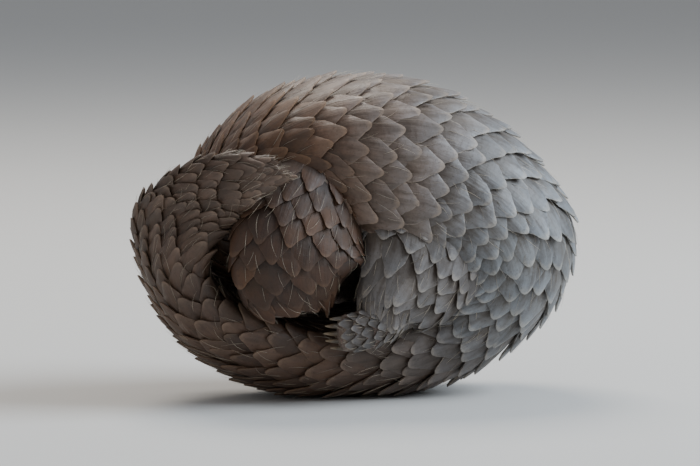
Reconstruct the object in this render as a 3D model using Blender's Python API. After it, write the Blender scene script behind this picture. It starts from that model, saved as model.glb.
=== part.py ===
"""A Sunda pangolin rolled up into its defensive ball, life size, lying on the floor on its tail.

Metres, +Z up. The floor is z = 0. The ball's long axis is X and the animal's left flank faces -Y.
The body is one long loft from the nose to the tail's tip, parted into nodes by thin flat cuts.
Each horn scale is a closed wedge whose root is sunk in the body and whose tip lies over the next row.
"""
import bisect
import math
import random

import bmesh
import bpy
from mathutils import Vector

MM = 0.001
GAP = 0.3 * MM
POCKET_GAP = 0.8 * MM
SIDE = Vector((0, 1, 0))
LEFT, RIGHT = -1, 1
# The middle of the ball's box in the drawing that the tables below are read from, in millimetres.
CENTRE_X = 1.34
CENTRE_Y = 0.02

# The loft's sections, from the nose to the tail's tip, in millimetres. Each lies in a plane across the
# body: its point on the back, its point on the belly, both as (x, z), the half width, the height of the
# widest line as a share of the depth, the shift towards +Y and the turn towards the left side in degrees.
SECTIONS = (
    ("nose_end", (-15.0, 51.5), (-10.5, 58.5), 5.4, 0.54, 0, 0),
    ("nose", (-21.0, 50.0), (-13.5, 63.0), 7.4, 0.54, 0, 0),
    ("muzzle", (-35.5, 54.5), (-20.5, 75.0), 10.6, 0.50, 0, 0),
    ("eyes", (-52.0, 60.0), (-27.5, 93.0), 17.5, 0.50, 0, 0),
    ("brow", (-70.0, 69.0), (-42.5, 106.0), 24.0, 0.52, 0, 0),
    ("crown", (-87.0, 80.5), (-57.0, 119.0), 27.5, 0.52, 0, 0),
    ("occiput", (-98.0, 97.0), (-65.0, 127.0), 30.0, 0.50, 0, 0),
    ("nape", (-102.0, 117.0), (-61.0, 130.0), 34.0, 0.48, 0, 0),
    ("neck", (-98.0, 138.0), (-55.0, 128.0), 41.0, 0.46, 0, 0),
    ("withers", (-81.0, 162.0), (-45.0, 122.0), 51.0, 0.44, 0, 0),
    ("shoulder", (-48.0, 184.0), (-31.0, 114.0), 64.0, 0.42, 0, 0),
    ("back", (-1.0, 195.0), (-15.0, 90.0), 76.0, 0.46, 0, 0),
    ("loin", (50.0, 187.0), (7.0, 82.0), 80.0, 0.46, 0, 0),
    ("hip", (101.0, 156.0), (20.0, 78.0), 79.0, 0.46, 0, 0),
    ("rump", (137.0, 106.0), (27.0, 73.0), 74.0, 0.45, 0, 0),
    ("croup", (125.0, 54.0), (34.0, 69.0), 65.0, 0.42, 0, 0),
    ("tail_root", (79.0, 18.5), (27.0, 58.0), 56.0, 0.36, 0, 0),
    ("tail_base", (36.0, 4.5), (12.0, 53.0), 51.0, 0.30, 0, 0),
    ("tail_sole", (-2.0, 2.8), (-6.0, 48.0), 49.0, 0.28, 0, 0),
    ("tail_bend", (-42.0, 5.5), (-30.0, 45.5), 46.0, 0.27, 0, 0),
    ("tail_rise", (-80.0, 19.5), (-58.0, 54.0), 44.0, 0.26, -1, -3),
    ("tail_side", (-114.0, 46.0), (-88.0, 71.0), 42.0, 0.27, -4, -8),
    ("tail_flank", (-132.0, 81.0), (-104.0, 91.5), 39.0, 0.30, -10, -2),
    ("tail_end", (-131.0, 112.0), (-108.0, 110.0), 34.0, 0.36, -23, 26),
    ("tail_taper", (-121.0, 134.0), (-104.0, 123.0), 25.5, 0.42, -42, 52),
    ("tail_fore_tip", (-99.0, 147.5), (-93.0, 135.5), 16.5, 0.46, -65, 69),
    ("tail_tip", (-75.0, 149.0), (-72.0, 143.0), 7.0, 0.50, -75, 76),
)
NAMES = [row[0] for row in SECTIONS]
SQUARENESS = 0.86

# Where the loft is parted, each as the section's name that the cut runs through.
CUTS = (
    ("head", None, "occiput"),
    ("neck", "occiput", "withers"),
    ("torso_shoulders", "withers", "back"),
    ("torso_loin", "back", "hip"),
    ("torso_rump", "hip", "croup"),
    ("tail_root", "croup", "tail_root"),
    ("tail_base", "tail_root", "tail_sole"),
    ("tail_middle", "tail_sole", "tail_rise"),
    ("tail_side", "tail_rise", "tail_flank"),
    ("tail_fore_end", "tail_flank", "tail_taper"),
    ("tail_tip", "tail_taper", None),
)
CUT_STEPS = 8
CUT_REACH = 4.0 * MM
CUT_LIFT = 16.0 * MM
CUT_SIDE = 130.0 * MM
CUT_OVER = 6.0 * MM
PAST_END = 0.8
SCALE_REACH = 55.0 * MM
AROUND = 16
TAIL_AROUND = 12
PAW_AROUND = 8
RING_STEP = 25.0 * MM

# Rows of scales along the loft: first and last section, the length along the back from one row to the
# next, scales in a full row, the girth that they cover as a share of half the section's outline, the
# scale's length and width as shares of that pitch and of the room across, and the rise of its tip.
BODY_SCALES = (
    ("muzzle", "crown", 15.0 * MM, 3, 0.44, 1.80, 1.35, 1.8 * MM),
    ("crown", "neck", 19.0 * MM, 4, 0.56, 1.85, 1.30, 2.8 * MM),
    ("neck", "shoulder", 26.0 * MM, 5, 0.66, 1.85, 1.28, 4.4 * MM),
    ("shoulder", "croup", 36.0 * MM, 6, 0.72, 1.85, 1.26, 6.2 * MM),
    ("croup", "tail_base", 31.0 * MM, 5, 0.66, 1.85, 1.26, 5.6 * MM),
    ("tail_base", "tail_end", 30.0 * MM, 4, 0.64, 1.85, 1.28, 4.8 * MM),
    ("tail_end", "tail_tip", 20.0 * MM, 3, 0.64, 1.75, 1.32, 3.4 * MM),
)
TIP_ROOM = 12.0 * MM
TIP_OVER = 4.0 * MM
ROOT_SINK = 1.2 * MM
UNDER_SINK = 2.6 * MM
SIZE_SPREAD = 0.07
TURN_SPREAD = math.radians(4)
SEED = 11
# One side of a scale seen from above: share of its length from the root, of its half width, of its rise.
SCALE_SIDE = ((0.00, 0.66, None), (0.55, 1.00, 0.52))
SCALE_TIP = 1.00
KEEL = (0.66, 0.96)

# Legs, root to wrist or ankle, in millimetres: the middle (x, distance from the ball's middle plane, z),
# half the breadth seen from the side, and half the thickness. The paw has a loft of its own.
FORELEG = (
    (-34, 40, 146, 22, 13),
    (-40, 51, 135, 29, 16),
    (-48, 58.5, 117, 36, 17.5),
    (-55, 63, 97, 42, 18),
    (-54, 61, 79, 38, 16),
    (-47, 55, 67, 22, 12),
)
FORE_PAW = (
    (-38, 56, 76, 11, 9),
    (-48, 52, 71, 14, 11),
    (-60, 45, 70, 14, 9),
    (-70, 41, 75, 11, 6),
)
HINDLEG = (
    (36, 38, 128, 31, 14),
    (32.5, 51, 112, 41.5, 19),
    (28, 58, 92, 43, 20),
    (15, 62, 73, 33, 18),
    (3, 65, 59, 21, 14),
    (1, 66, 51, 11, 11),
)
HIND_PAW = (
    (10, 66, 57, 10, 9),
    (-2, 67, 51, 13, 11),
    (-18, 67, 46, 13, 10),
    (-31, 65, 45, 10, 7),
)
FORELEG_TRUNKS = ("neck", "torso_shoulders")
HINDLEG_TRUNKS = ("torso_shoulders", "torso_loin", "torso_rump", "tail_root")
ON_FLOOR = ("tail_base", "tail_middle")
LEG_STEP = 13.0 * MM
LEG_AROUND = 12
# The leg's direction at a section is taken over this share of the way to the next one on either side.
LEG_SMOOTH = 0.4
# First and last section of the leg, pitch, scales in a row, cover, length and width shares, rise.
FORELEG_SCALES = (1.1, 3.6, 20.0 * MM, 3, 0.60, 1.70, 1.30, 3.8 * MM)
HINDLEG_SCALES = (1.15, 3.6, 23.0 * MM, 4, 0.55, 1.70, 1.30, 4.4 * MM)
# Claws: place across the paw as a share of its breadth, length along the curve, radius at the root.
FORE_CLAWS = ((-0.85, 10, 2.2), (-0.45, 23, 3.2), (0.02, 31, 3.8), (0.48, 24, 3.3), (0.85, 11, 2.3))
HIND_CLAWS = ((-0.80, 9, 2.2), (-0.40, 12, 2.7), (0.00, 13, 2.9), (0.40, 12, 2.7), (0.80, 9, 2.2))
CLAW_CURVE = math.radians(42)
CLAW_STEPS = 3
CLAW_SINK = 0.35
CLAW_TAPER = (0.86, 1.4)
CLAW_CREST = 1.15
CLAW_SIDE = 0.80

# The head's features, each placed by its section number and its turn from the middle of the forehead.
EYE_AT = (3.3, math.radians(78))
EYE_RADIUS = 4.0 * MM
EYE_SINK = 1.2 * MM
LID_RING = (6.0 * MM, 4.7 * MM)
LID_RADII = tuple(r * MM for r in (0.7, 1.6, 2.0, 2.0, 1.6, 0.7))
LID_OPEN = 0.06
EAR_AT = (5.1, math.radians(82))
EAR_RING = (5.2 * MM, 7.2 * MM)
EAR_RISE = 5.6 * MM
EAR_WALL = 1.7 * MM
EAR_RIM = 0.6
EAR_LEAN = 0.45
EAR_FALL = 0.7
EAR_THIN = 0.35
EAR_ROOT = 2.0 * MM
EAR_REACH = math.radians(128)
EAR_STEPS = 8
EAR_HOLE = 3.6 * MM
EAR_HOLE_SINK = 1.2 * MM
MOUTH_TURN = math.radians(122)
MOUTH_BACK = 2.35
MOUTH_FRONT = 0.6
MOUTH_STEPS = 4
MOUTH_ROUND = (0.5, 1.0, 1.5)
MOUTH_DEPTH = 2.2 * MM
MOUTH_HALF = 0.6 * MM
LIP_RADIUS = 1.7 * MM
LIP_OFF = 1.9 * MM
LIP_CORNER = 0.5
LIP_SWELL = 0.25
NOSTRIL_AT = (0.12, math.radians(68))
NOSTRIL = 1.7 * MM
NOSE_WING = 1.3 * MM
NOSE_WING_RING = 2.5 * MM
NOSE_WING_BACK = 0.2
NOSE_WING_ARC = ((-100, 0.6), (-45, 0.9), (0, 1.0), (45, 0.9), (100, 0.6))
BEAD_SINK = 0.3
FLOOR_BLOCK = 400.0 * MM

HORN = ((0.16, 0.12, 0.09), 0.5)
FLESH = ((0.30, 0.21, 0.17), 0.65)
EYE_DARK = ((0.01, 0.008, 0.006), 0.08)


def spline(values, t):
    """Catmull-Rom through equally spaced numbers, straight past its ends; t counts sections from 0."""
    last = len(values) - 1
    if t < 0 or t > last:
        end, inner = (0, 1) if t < 0 else (last, last - 1)
        return values[end] + (values[end] - values[inner]) * abs(t - end)
    i = min(max(int(math.floor(t)), 0), last - 1)
    f = t - i
    before = values[i - 1] if i > 0 else 2 * values[0] - values[1]
    after = values[i + 2] if i + 2 <= last else 2 * values[last] - values[last - 1]
    a, b = values[i], values[i + 1]
    return 0.5 * (
        2 * a
        + (b - before) * f
        + (2 * before - 5 * a + 4 * b - after) * f * f
        + (3 * a - before - 3 * b + after) * f ** 3
    )


def power(value, exponent):
    return math.copysign(abs(value) ** exponent, value)


class Loft:
    """A smooth surface of two numbers: t counts the sections along it, turn goes round it."""

    STEP = 0.01
    FINE = 24
    COARSE = 6
    TURNS = 32
    OUTLINE_REACH = 0.97
    LEAST_STRETCH = 0.65
    END_STEP = 0.05

    def __init__(self, point, middle, last):
        self.point = point
        self.middle = middle
        self.last = last
        self.ts = [k / self.FINE for k in range(last * self.FINE + 1)]
        self.lengths = [0.0]
        for a, b in zip(self.ts, self.ts[1:]):
            self.lengths.append(self.lengths[-1] + (point(b, 0) - point(a, 0)).length)
        self.arc_rows = [self.outline(k / self.COARSE) for k in range(last * self.COARSE + 1)]

    def outline(self, t):
        spots = [self.point(t, math.pi * k / self.TURNS) for k in range(self.TURNS + 1)]
        lengths = [0.0]
        for a, b in zip(spots, spots[1:]):
            lengths.append(lengths[-1] + (b - a).length)
        return lengths

    def t_at(self, length):
        """Where the line of turn 0 has run so far from the start."""
        i = min(max(bisect.bisect(self.lengths, length), 1), len(self.ts) - 1)
        f = (length - self.lengths[i - 1]) / (self.lengths[i] - self.lengths[i - 1])
        return self.ts[i - 1] + f * (self.ts[i] - self.ts[i - 1])

    def length_at(self, t):
        i = min(max(bisect.bisect(self.ts, t), 1), len(self.ts) - 1)
        f = (t - self.ts[i - 1]) / (self.ts[i] - self.ts[i - 1])
        return self.lengths[i - 1] + f * (self.lengths[i] - self.lengths[i - 1])

    def frame(self, t, turn):
        """The point, its two slopes and the outward normal."""
        here = self.point(t, turn)
        along = (self.point(t + self.STEP, turn) - self.point(t - self.STEP, turn)) / (2 * self.STEP)
        across = (self.point(t, turn + self.STEP) - self.point(t, turn - self.STEP)) / (2 * self.STEP)
        normal = along.cross(across).normalized()
        if normal.dot(here - self.middle(t)) < 0:
            normal.negate()
        return here, along, across, normal

    def lifted(self, t, turn, lift):
        here, _, _, normal = self.frame(t, turn)
        return here + normal * lift

    def arcs(self, t):
        """Lengths of the outline from turn 0 to each of the even turns up to half a turn."""
        i = min(max(int(t * self.COARSE), 0), len(self.arc_rows) - 2)
        f = min(max(t * self.COARSE - i, 0), 1)
        return [a + (b - a) * f for a, b in zip(self.arc_rows[i], self.arc_rows[i + 1])]

    def out_at(self, t, turn):
        """How far round the outline the turn is, counted from turn 0, with its sign."""
        arcs = self.arcs(t)
        step = min(abs(turn) / math.pi * self.TURNS, self.TURNS - 1e-6)
        i = int(step)
        return math.copysign(arcs[i] + (arcs[i + 1] - arcs[i]) * (step - i), turn)

    def turn_at(self, t, out):
        arcs = self.arcs(t)
        far = min(abs(out), arcs[-1] * self.OUTLINE_REACH)
        i = min(max(bisect.bisect(arcs, far), 1), self.TURNS)
        f = (far - arcs[i - 1]) / (arcs[i] - arcs[i - 1])
        return math.copysign((i - 1 + f) * math.pi / self.TURNS, out)

    def local(self, t, turn):
        """A function from lengths ahead and beside the spot to the t and turn found there."""
        start, share = self.length_at(t), self.out_at(t, turn) / self.arcs(t)[-1]
        run = self.length_at(t + self.END_STEP) - self.length_at(t - self.END_STEP)
        real = (self.point(t + self.END_STEP, turn) - self.point(t - self.END_STEP, turn)).length
        stretch = min(max(real / run, self.LEAST_STRETCH), 1 / self.LEAST_STRETCH)

        def spot(ahead, beside):
            there = self.t_at(start + ahead / stretch)
            return there, self.turn_at(there, share * self.arcs(there)[-1] + beside)

        return spot

    def scale_rows(self, draw, start, end, pitch, count, cover, long_share, wide_share, rise, first_row=0):
        """Scales as (t, turn, heading, length, width, rise), in staggered rows from start to end."""
        rows = max(1, round((end - start) / pitch))
        found = []
        for k in range(rows):
            t = self.t_at(start + (end - start) * k / rows)
            left = self.lengths[-1] - self.length_at(t)
            if left < TIP_ROOM:
                continue
            room = 2 * self.arcs(t)[-1] * cover / count
            in_row = count - (first_row + k) % 2
            for n in range(in_row):
                turn = self.turn_at(t, (n - (in_row - 1) / 2) * room)
                size = 1 + draw.uniform(-SIZE_SPREAD, SIZE_SPREAD)
                heading = draw.uniform(-TURN_SPREAD, TURN_SPREAD)
                length = min(pitch * long_share * size, left + TIP_OVER)
                found.append((t, turn, heading, length, room * wide_share * size, rise * size))
        return found, rows

    def core(self, name, t0, t1, step, around, room=0.0):
        """The smooth surface from t0 to t1 as one closed body, or else a body wider by the room."""
        length = self.length_at(t1) - self.length_at(t0)
        steps = max(3, round(length / step))
        ts = [self.t_at(self.length_at(t0) + length * k / steps) for k in range(steps + 1)]
        if room:
            ts[0] -= self.END_STEP
            ts[-1] += self.END_STEP
        rings = []
        for t in ts:
            middle = self.middle(t)
            ring = [self.point(t, 2 * math.pi * j / around) for j in range(around)]
            rings.append([point + (point - middle).normalized() * room for point in ring])
        return closed_loft(name, rings)


BACK_X, BACK_Z = ([(row[1][k] - (CENTRE_X, 0)[k]) * MM for row in SECTIONS] for k in (0, 1))
BELLY_X, BELLY_Z = ([(row[2][k] - (CENTRE_X, 0)[k]) * MM for row in SECTIONS] for k in (0, 1))
HALF_WIDTH = [row[3] * MM for row in SECTIONS]
WIDEST = [row[4] for row in SECTIONS]
SHIFT = [(row[5] - CENTRE_Y) * MM for row in SECTIONS]
ROLL = [math.radians(row[6]) for row in SECTIONS]
SECTION_SIZES = (HALF_WIDTH, WIDEST, SHIFT, ROLL)


def section(t):
    """The belly point, the unit vector to the back, the depth and the row's other sizes at t."""
    belly = Vector((spline(BELLY_X, t), 0, spline(BELLY_Z, t)))
    back = Vector((spline(BACK_X, t), 0, spline(BACK_Z, t)))
    up = back - belly
    depth = up.length
    return (belly, up / depth, depth) + tuple(spline(column, t) for column in SECTION_SIZES)


def body_point(t, turn):
    """A point of the smooth body: turn 0 is the middle of the back, minus a right angle the left flank."""
    belly, up, depth, half_width, widest, shift, roll = section(t)
    c, s = math.cos(turn), math.sin(turn)
    share = 1 - widest if c >= 0 else widest
    high = power(c, SQUARENESS) * share * depth
    wide = power(s, SQUARENESS) * half_width
    high, wide = high * math.cos(roll) + wide * math.sin(roll), wide * math.cos(roll) - high * math.sin(roll)
    return belly + up * (widest * depth + high) + SIDE * (wide + shift)


def body_middle(t):
    belly, up, depth, _, widest, shift, _ = section(t)
    return belly + up * (widest * depth) + SIDE * shift


BODY = Loft(body_point, body_middle, len(SECTIONS) - 1)


def leg_loft(rows, side):
    """A leg or paw: turn 0 is its outer side, and t runs from its root to its end."""
    xs = [(row[0] - CENTRE_X) * MM for row in rows]
    ys = [(row[1] * side - CENTRE_Y) * MM for row in rows]
    zs = [row[2] * MM for row in rows]
    broad = [row[3] * MM for row in rows]
    thick = [row[4] * MM for row in rows]

    def middle(t):
        return Vector((spline(xs, t), spline(ys, t), spline(zs, t)))

    def point(t, turn):
        ahead = (middle(t + LEG_SMOOTH) - middle(t - LEG_SMOOTH)).normalized()
        out = (SIDE * side - ahead * side * ahead.y).normalized()
        breadth = ahead.cross(out) * side
        high, wide = math.cos(turn) * spline(thick, t), math.sin(turn) * spline(broad, t)
        return middle(t) + out * high + breadth * wide

    return Loft(point, middle, len(rows) - 1)


def new_object(name, mesh):
    obj = bpy.data.objects.new(name, mesh)
    bpy.context.scene.collection.objects.link(obj)
    return obj


def object_from(bm, name):
    bmesh.ops.recalc_face_normals(bm, faces=bm.faces)
    bmesh.ops.triangulate(bm, faces=bm.faces)
    mesh = bpy.data.meshes.new(name)
    bm.to_mesh(mesh)
    bm.free()
    return new_object(name, mesh)


def closed_loft(name, rings):
    """One closed body from rings of points, with flat ends."""
    bm = bmesh.new()
    made = [[bm.verts.new(p) for p in ring] for ring in rings]
    count = len(made[0])
    for a, b in zip(made, made[1:]):
        for k in range(count):
            n = (k + 1) % count
            bm.faces.new((a[k], a[n], b[n], b[k]))
    bm.faces.new(made[0][::-1])
    bm.faces.new(made[-1])
    return object_from(bm, name)


def plate(skin, t, turn, heading, length, width, rise, room=0.0):
    """A horn scale as a closed wedge that follows the skin, or else the space that it needs with some room.

    The heading turns it from the line of +t.
    """
    spot = skin.local(t, turn)
    c, s = math.cos(heading), math.sin(heading)

    def place(down, out, lift):
        return skin.lifted(*spot(down * c - out * s, down * s + out * c), lift)

    half = width / 2
    left = [(length * a, half * b, share) for a, b, share in SCALE_SIDE]
    outline = left + [(length * SCALE_TIP, 0, 1.0)] + [(a, -b, share) for a, b, share in reversed(left)]
    lifts = [-ROOT_SINK if share is None else rise * share for _, _, share in outline]
    upper = [place(a, b, lift + room) for (a, b, _), lift in zip(outline, lifts)]
    lower = [place(a, b, -UNDER_SINK - room) for a, b, _ in outline]
    keel = place(length * KEEL[0], 0, rise * KEEL[1] + room)
    if room:
        return space_round([*upper, *lower, keel], room)
    bm = bmesh.new()
    upper, lower = [bm.verts.new(p) for p in upper], [bm.verts.new(p) for p in lower]
    keel = bm.verts.new(keel)
    count = len(outline)
    for k in range(count):
        n = (k + 1) % count
        bm.faces.new((upper[k], upper[n], lower[n]))
        bm.faces.new((upper[k], lower[n], lower[k]))
        bm.faces.new((upper[n], upper[k], keel))
    for k in range(1, count - 1):
        bm.faces.new((lower[0], lower[k + 1], lower[k]))
    return object_from(bm, "scale")


def space_round(points, room):
    """The convex body round the points, wider by the room away from their middle."""
    middle = sum(points, Vector()) / len(points)
    bm = bmesh.new()
    for point in points:
        bm.verts.new(point + (point - middle).normalized() * room)
    found = bmesh.ops.convex_hull(bm, input=bm.verts)
    inner = found["geom_interior"] + found["geom_unused"]
    bmesh.ops.delete(bm, geom=[v for v in bm.verts if v in inner], context="VERTS")
    return object_from(bm, "space")


def along_skin(skin, path):
    """For each spot (t, turn) of a path on a skin: the point, the outward normal and the way beside it."""
    spots = [skin.frame(*spot) for spot in path]
    for k, (here, _, _, normal) in enumerate(spots):
        ahead = spots[min(k + 1, len(spots) - 1)][0] - spots[max(k - 1, 0)][0]
        yield here, normal, ahead.cross(normal).normalized()


def bead(skin, path, radii, sides=5):
    """A rounded ridge along a path on a skin, sunk a little in it."""
    rings = []
    for (here, normal, beside), radius in zip(along_skin(skin, path), radii):
        centre = here - normal * radius * BEAD_SINK
        turns = [2 * math.pi * j / sides for j in range(sides)]
        rings.append([centre + (normal * math.cos(a) + beside * math.sin(a)) * radius for a in turns])
    return closed_loft("bead", rings)


def groove(skin, path, half, depth):
    """The cutter of a thin furrow along a path on a skin."""
    rings = []
    for here, normal, beside in along_skin(skin, path):
        top = here + normal * depth
        rings.append([top - beside * half * 2, top + beside * half * 2, here - normal * depth])
    return closed_loft("groove", rings)


def ball(name, centre, radius, fineness):
    bm = bmesh.new()
    bmesh.ops.create_icosphere(bm, subdivisions=fineness, radius=radius)
    bmesh.ops.translate(bm, vec=centre, verts=bm.verts)
    return object_from(bm, name)


def largest_body(obj):
    """Keeps the largest closed surface of a mesh object."""
    bm = bmesh.new()
    bm.from_mesh(obj.data)
    seen, bodies = set(), []
    for start in bm.verts:
        if start in seen:
            continue
        seen.add(start)
        body, queue = [start], [start]
        while queue:
            vert = queue.pop()
            for edge in vert.link_edges:
                other = edge.other_vert(vert)
                if other not in seen:
                    seen.add(other)
                    body.append(other)
                    queue.append(other)
        bodies.append(body)
    bodies.sort(key=len)
    doomed = [v for body in bodies[:-1] for v in body]
    bmesh.ops.delete(bm, geom=doomed, context="VERTS")
    bm.to_mesh(obj.data)
    bm.free()


def drop(obj):
    mesh = obj.data
    bpy.data.objects.remove(obj)
    bpy.data.meshes.remove(mesh)


def combine(obj, others, operation):
    """Joins, cuts or keeps what is common, applies it, and removes the other objects."""
    group = bpy.data.collections.new("pieces")
    bpy.context.scene.collection.children.link(group)
    for other in others:
        bpy.context.scene.collection.objects.unlink(other)
        group.objects.link(other)
    modifier = obj.modifiers.new("pieces", "BOOLEAN")
    modifier.operation = operation
    modifier.solver = "MANIFOLD"
    modifier.operand_type = "COLLECTION"
    modifier.collection = group
    bpy.context.view_layer.update()
    evaluated = obj.evaluated_get(bpy.context.evaluated_depsgraph_get())
    mesh = bpy.data.meshes.new_from_object(evaluated)
    old = obj.data
    obj.modifiers.clear()
    obj.data = mesh
    bpy.data.meshes.remove(old)
    mesh.name = obj.name
    for other in others:
        drop(other)
    bpy.data.collections.remove(group)
    largest_body(obj)


def body_scales():
    """Every scale of the body's loft, in staggered rows from the muzzle to the tail's tip."""
    draw = random.Random(SEED)
    found, row = [], 0
    for first, last, *sizes in BODY_SCALES:
        start, end = BODY.length_at(NAMES.index(first)), BODY.length_at(NAMES.index(last))
        more, rows = BODY.scale_rows(draw, start, end, *sizes, first_row=row)
        found += more
        row += rows
    return found


def parting_block(t0, t1):
    """The space between two cuts: a fan of flat-ended slabs that is one closed body."""
    rings = []
    for k in range(CUT_STEPS + 1):
        t = t0 + (t1 - t0) * k / CUT_STEPS
        _, up, depth, half_width, widest, _, roll = section(t)
        middle = body_middle(t)
        middle.y = 0
        across_cut = Vector((0, 0, 0))
        if k in (0, CUT_STEPS):
            step = Loft.END_STEP if k == 0 else -Loft.END_STEP
            into = body_middle(t + step) - body_middle(t - step)
            across_cut = SIDE.cross(up)
            across_cut *= math.copysign(GAP / 2, across_cut.dot(into))
        turned = half_width * math.sin(roll)
        low = middle - up * (math.hypot(widest * depth, turned) + CUT_REACH) + across_cut
        high = middle + up * (math.hypot((1 - widest) * depth, turned) + CUT_LIFT) + across_cut
        left, right = -SIDE * CUT_SIDE, SIDE * CUT_SIDE
        rings.append([low + left, high + left, high + right, low + right])
    return closed_loft("block", rings)


def body_node(name, first, last, scales, extras=()):
    """One length of the body with its scales, between two flat cuts."""
    t0 = NAMES.index(first) if first else 0
    t1 = NAMES.index(last) if last else BODY.last
    c0 = BODY.t_at(BODY.length_at(t0) - CUT_OVER) if first else 0
    c1 = BODY.t_at(BODY.length_at(t1) + CUT_OVER) if last else BODY.last
    obj = BODY.core(name, c0, c1, RING_STEP, TAIL_AROUND if name.startswith("tail") else AROUND)
    low, high = BODY.length_at(t0) - SCALE_REACH, BODY.length_at(t1) + CUT_OVER
    near = [s for s in scales if low < BODY.length_at(s[0]) < high]
    combine(obj, [plate(BODY, *s) for s in near] + list(extras), "UNION")
    block = parting_block(t0 if first else -PAST_END, t1 if last else BODY.last + PAST_END)
    combine(obj, [block], "INTERSECT")
    return obj


def claw(loft, side, share, length, radius):
    """A horn claw at the end of a paw, curved towards the palm."""
    t = loft.last - CLAW_SINK
    root = loft.middle(t)
    ahead = (loft.middle(loft.last) - root).normalized()
    out = (SIDE * side - ahead * side * ahead.y).normalized()
    breadth = ahead.cross(out) * side
    root = root + breadth * share * (loft.point(t, math.pi / 2) - root).length
    bend = length / CLAW_CURVE
    rings = []
    for k in range(CLAW_STEPS + 1):
        turned = CLAW_CURVE * k / CLAW_STEPS
        centre = root + ahead * (bend * math.sin(turned)) - out * (bend * (1 - math.cos(turned)))
        lie = ahead * math.cos(turned) - out * math.sin(turned)
        face = out * math.cos(turned) + ahead * math.sin(turned)
        beside = lie.cross(face) * CLAW_SIDE
        r = radius * (1 - CLAW_TAPER[0] * (k / CLAW_STEPS) ** CLAW_TAPER[1])
        rings.append([centre + step * r for step in (face * CLAW_CREST, beside, -face, -beside)])
    return closed_loft("claw", rings)


def leg_node(name, side, leg_rows, paw_rows, scale_row, claws, room=0.0):
    """A whole leg: its loft, its paw, the claws, and scales over the outer side.

    With some room it is the pocket that the upper leg and its scales need in the trunk.
    """
    leg, paw = leg_loft(leg_rows, side), leg_loft(paw_rows, side)
    first, last, *sizes = scale_row
    draw = random.Random(SEED + side)
    scales, _ = leg.scale_rows(draw, leg.length_at(first), leg.length_at(last), *sizes)
    obj = leg.core(name, 0, leg.last, LEG_STEP, LEG_AROUND, room)
    pieces = [plate(leg, *s, room=room) for s in scales]
    if not room:
        pieces.append(paw.core("paw", 0, paw.last, LEG_STEP, PAW_AROUND))
        pieces += [claw(paw, side, share, length * MM, radius * MM) for share, length, radius in claws]
    combine(obj, pieces, "UNION")
    return obj


def eye_place(side):
    here, _, _, normal = BODY.frame(EYE_AT[0], side * EYE_AT[1])
    return here - normal * EYE_SINK


def lids(side):
    """The upper and the lower lid, each a tapered ridge along its half of a ring about the eye."""
    spot = BODY.local(EYE_AT[0], side * EYE_AT[1])
    last = len(LID_RADII) - 1
    made = []
    for start in (0, math.pi):
        turns = [start + math.pi * (LID_OPEN + (1 - 2 * LID_OPEN) * k / last) for k in range(last + 1)]
        path = [spot(LID_RING[0] * math.cos(a), LID_RING[1] * math.sin(a)) for a in turns]
        made.append(bead(BODY, path, LID_RADII))
    return made


def mouth_path(off):
    """Spots from the left corner of the mouth round under the nose to the right corner."""
    run = []
    for k in range(MOUTH_STEPS + 1):
        t = MOUTH_BACK + (MOUTH_FRONT - MOUTH_BACK) * k / MOUTH_STEPS
        run.append((t, BODY.turn_at(t, BODY.out_at(t, MOUTH_TURN) + off * min(1, k))))
    left = [(t, -turn) for t, turn in run]
    right = [(t, turn - 2 * math.pi) for t, turn in reversed(run)]
    last_turn = run[-1][1]
    turns = [-(last_turn + (math.pi - last_turn) * share) for share in MOUTH_ROUND]
    return left + [(MOUTH_FRONT, turn) for turn in turns] + right


def lips():
    """A soft ridge above and one below the line of the mouth, which meet at its corners."""
    made = []
    for off in (-LIP_OFF, LIP_OFF):
        path = mouth_path(off)
        steps = [min(k, len(path) - 1 - k) for k in range(len(path))]
        made.append(bead(BODY, path, [LIP_RADIUS * min(1, LIP_CORNER + LIP_SWELL * k) for k in steps]))
    return made


def nose_wing(side):
    """The fleshy rim over a nostril, a short arc on its back side."""
    spot = BODY.local(NOSTRIL_AT[0] + NOSE_WING_BACK, side * NOSTRIL_AT[1])
    turns = [math.radians(turn) for turn, _ in NOSE_WING_ARC]
    path = [spot(NOSE_WING_RING * math.cos(a), NOSE_WING_RING * math.sin(a)) for a in turns]
    return bead(BODY, path, [NOSE_WING * share for _, share in NOSE_WING_ARC])


def ear(name, side, grow=0.0):
    """The cup of an ear: a thick fold round the back of its hole, highest in the middle, leaning back."""
    spot = BODY.local(EAR_AT[0], side * EAR_AT[1])
    rings = []
    for k in range(EAR_STEPS + 1):
        f = 2 * k / EAR_STEPS - 1
        turn = f * (EAR_REACH + grow / EAR_RING[0])
        high = EAR_RISE * (1 - EAR_FALL * f * f)
        wall = EAR_WALL * (1 - EAR_THIN * f * f)
        back = high * EAR_LEAN
        corners = (
            (-wall - grow, -EAR_ROOT - grow),
            (back - wall * EAR_RIM - grow, high + grow),
            (back + wall * EAR_RIM + grow, high + grow),
            (wall + grow, -EAR_ROOT - grow),
        )
        ring = []
        for out, lift in corners:
            place = spot((EAR_RING[0] + out) * math.cos(turn), (EAR_RING[1] + out) * math.sin(turn))
            ring.append(BODY.lifted(*place, lift))
        rings.append(ring)
    return closed_loft(name, rings)


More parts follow.
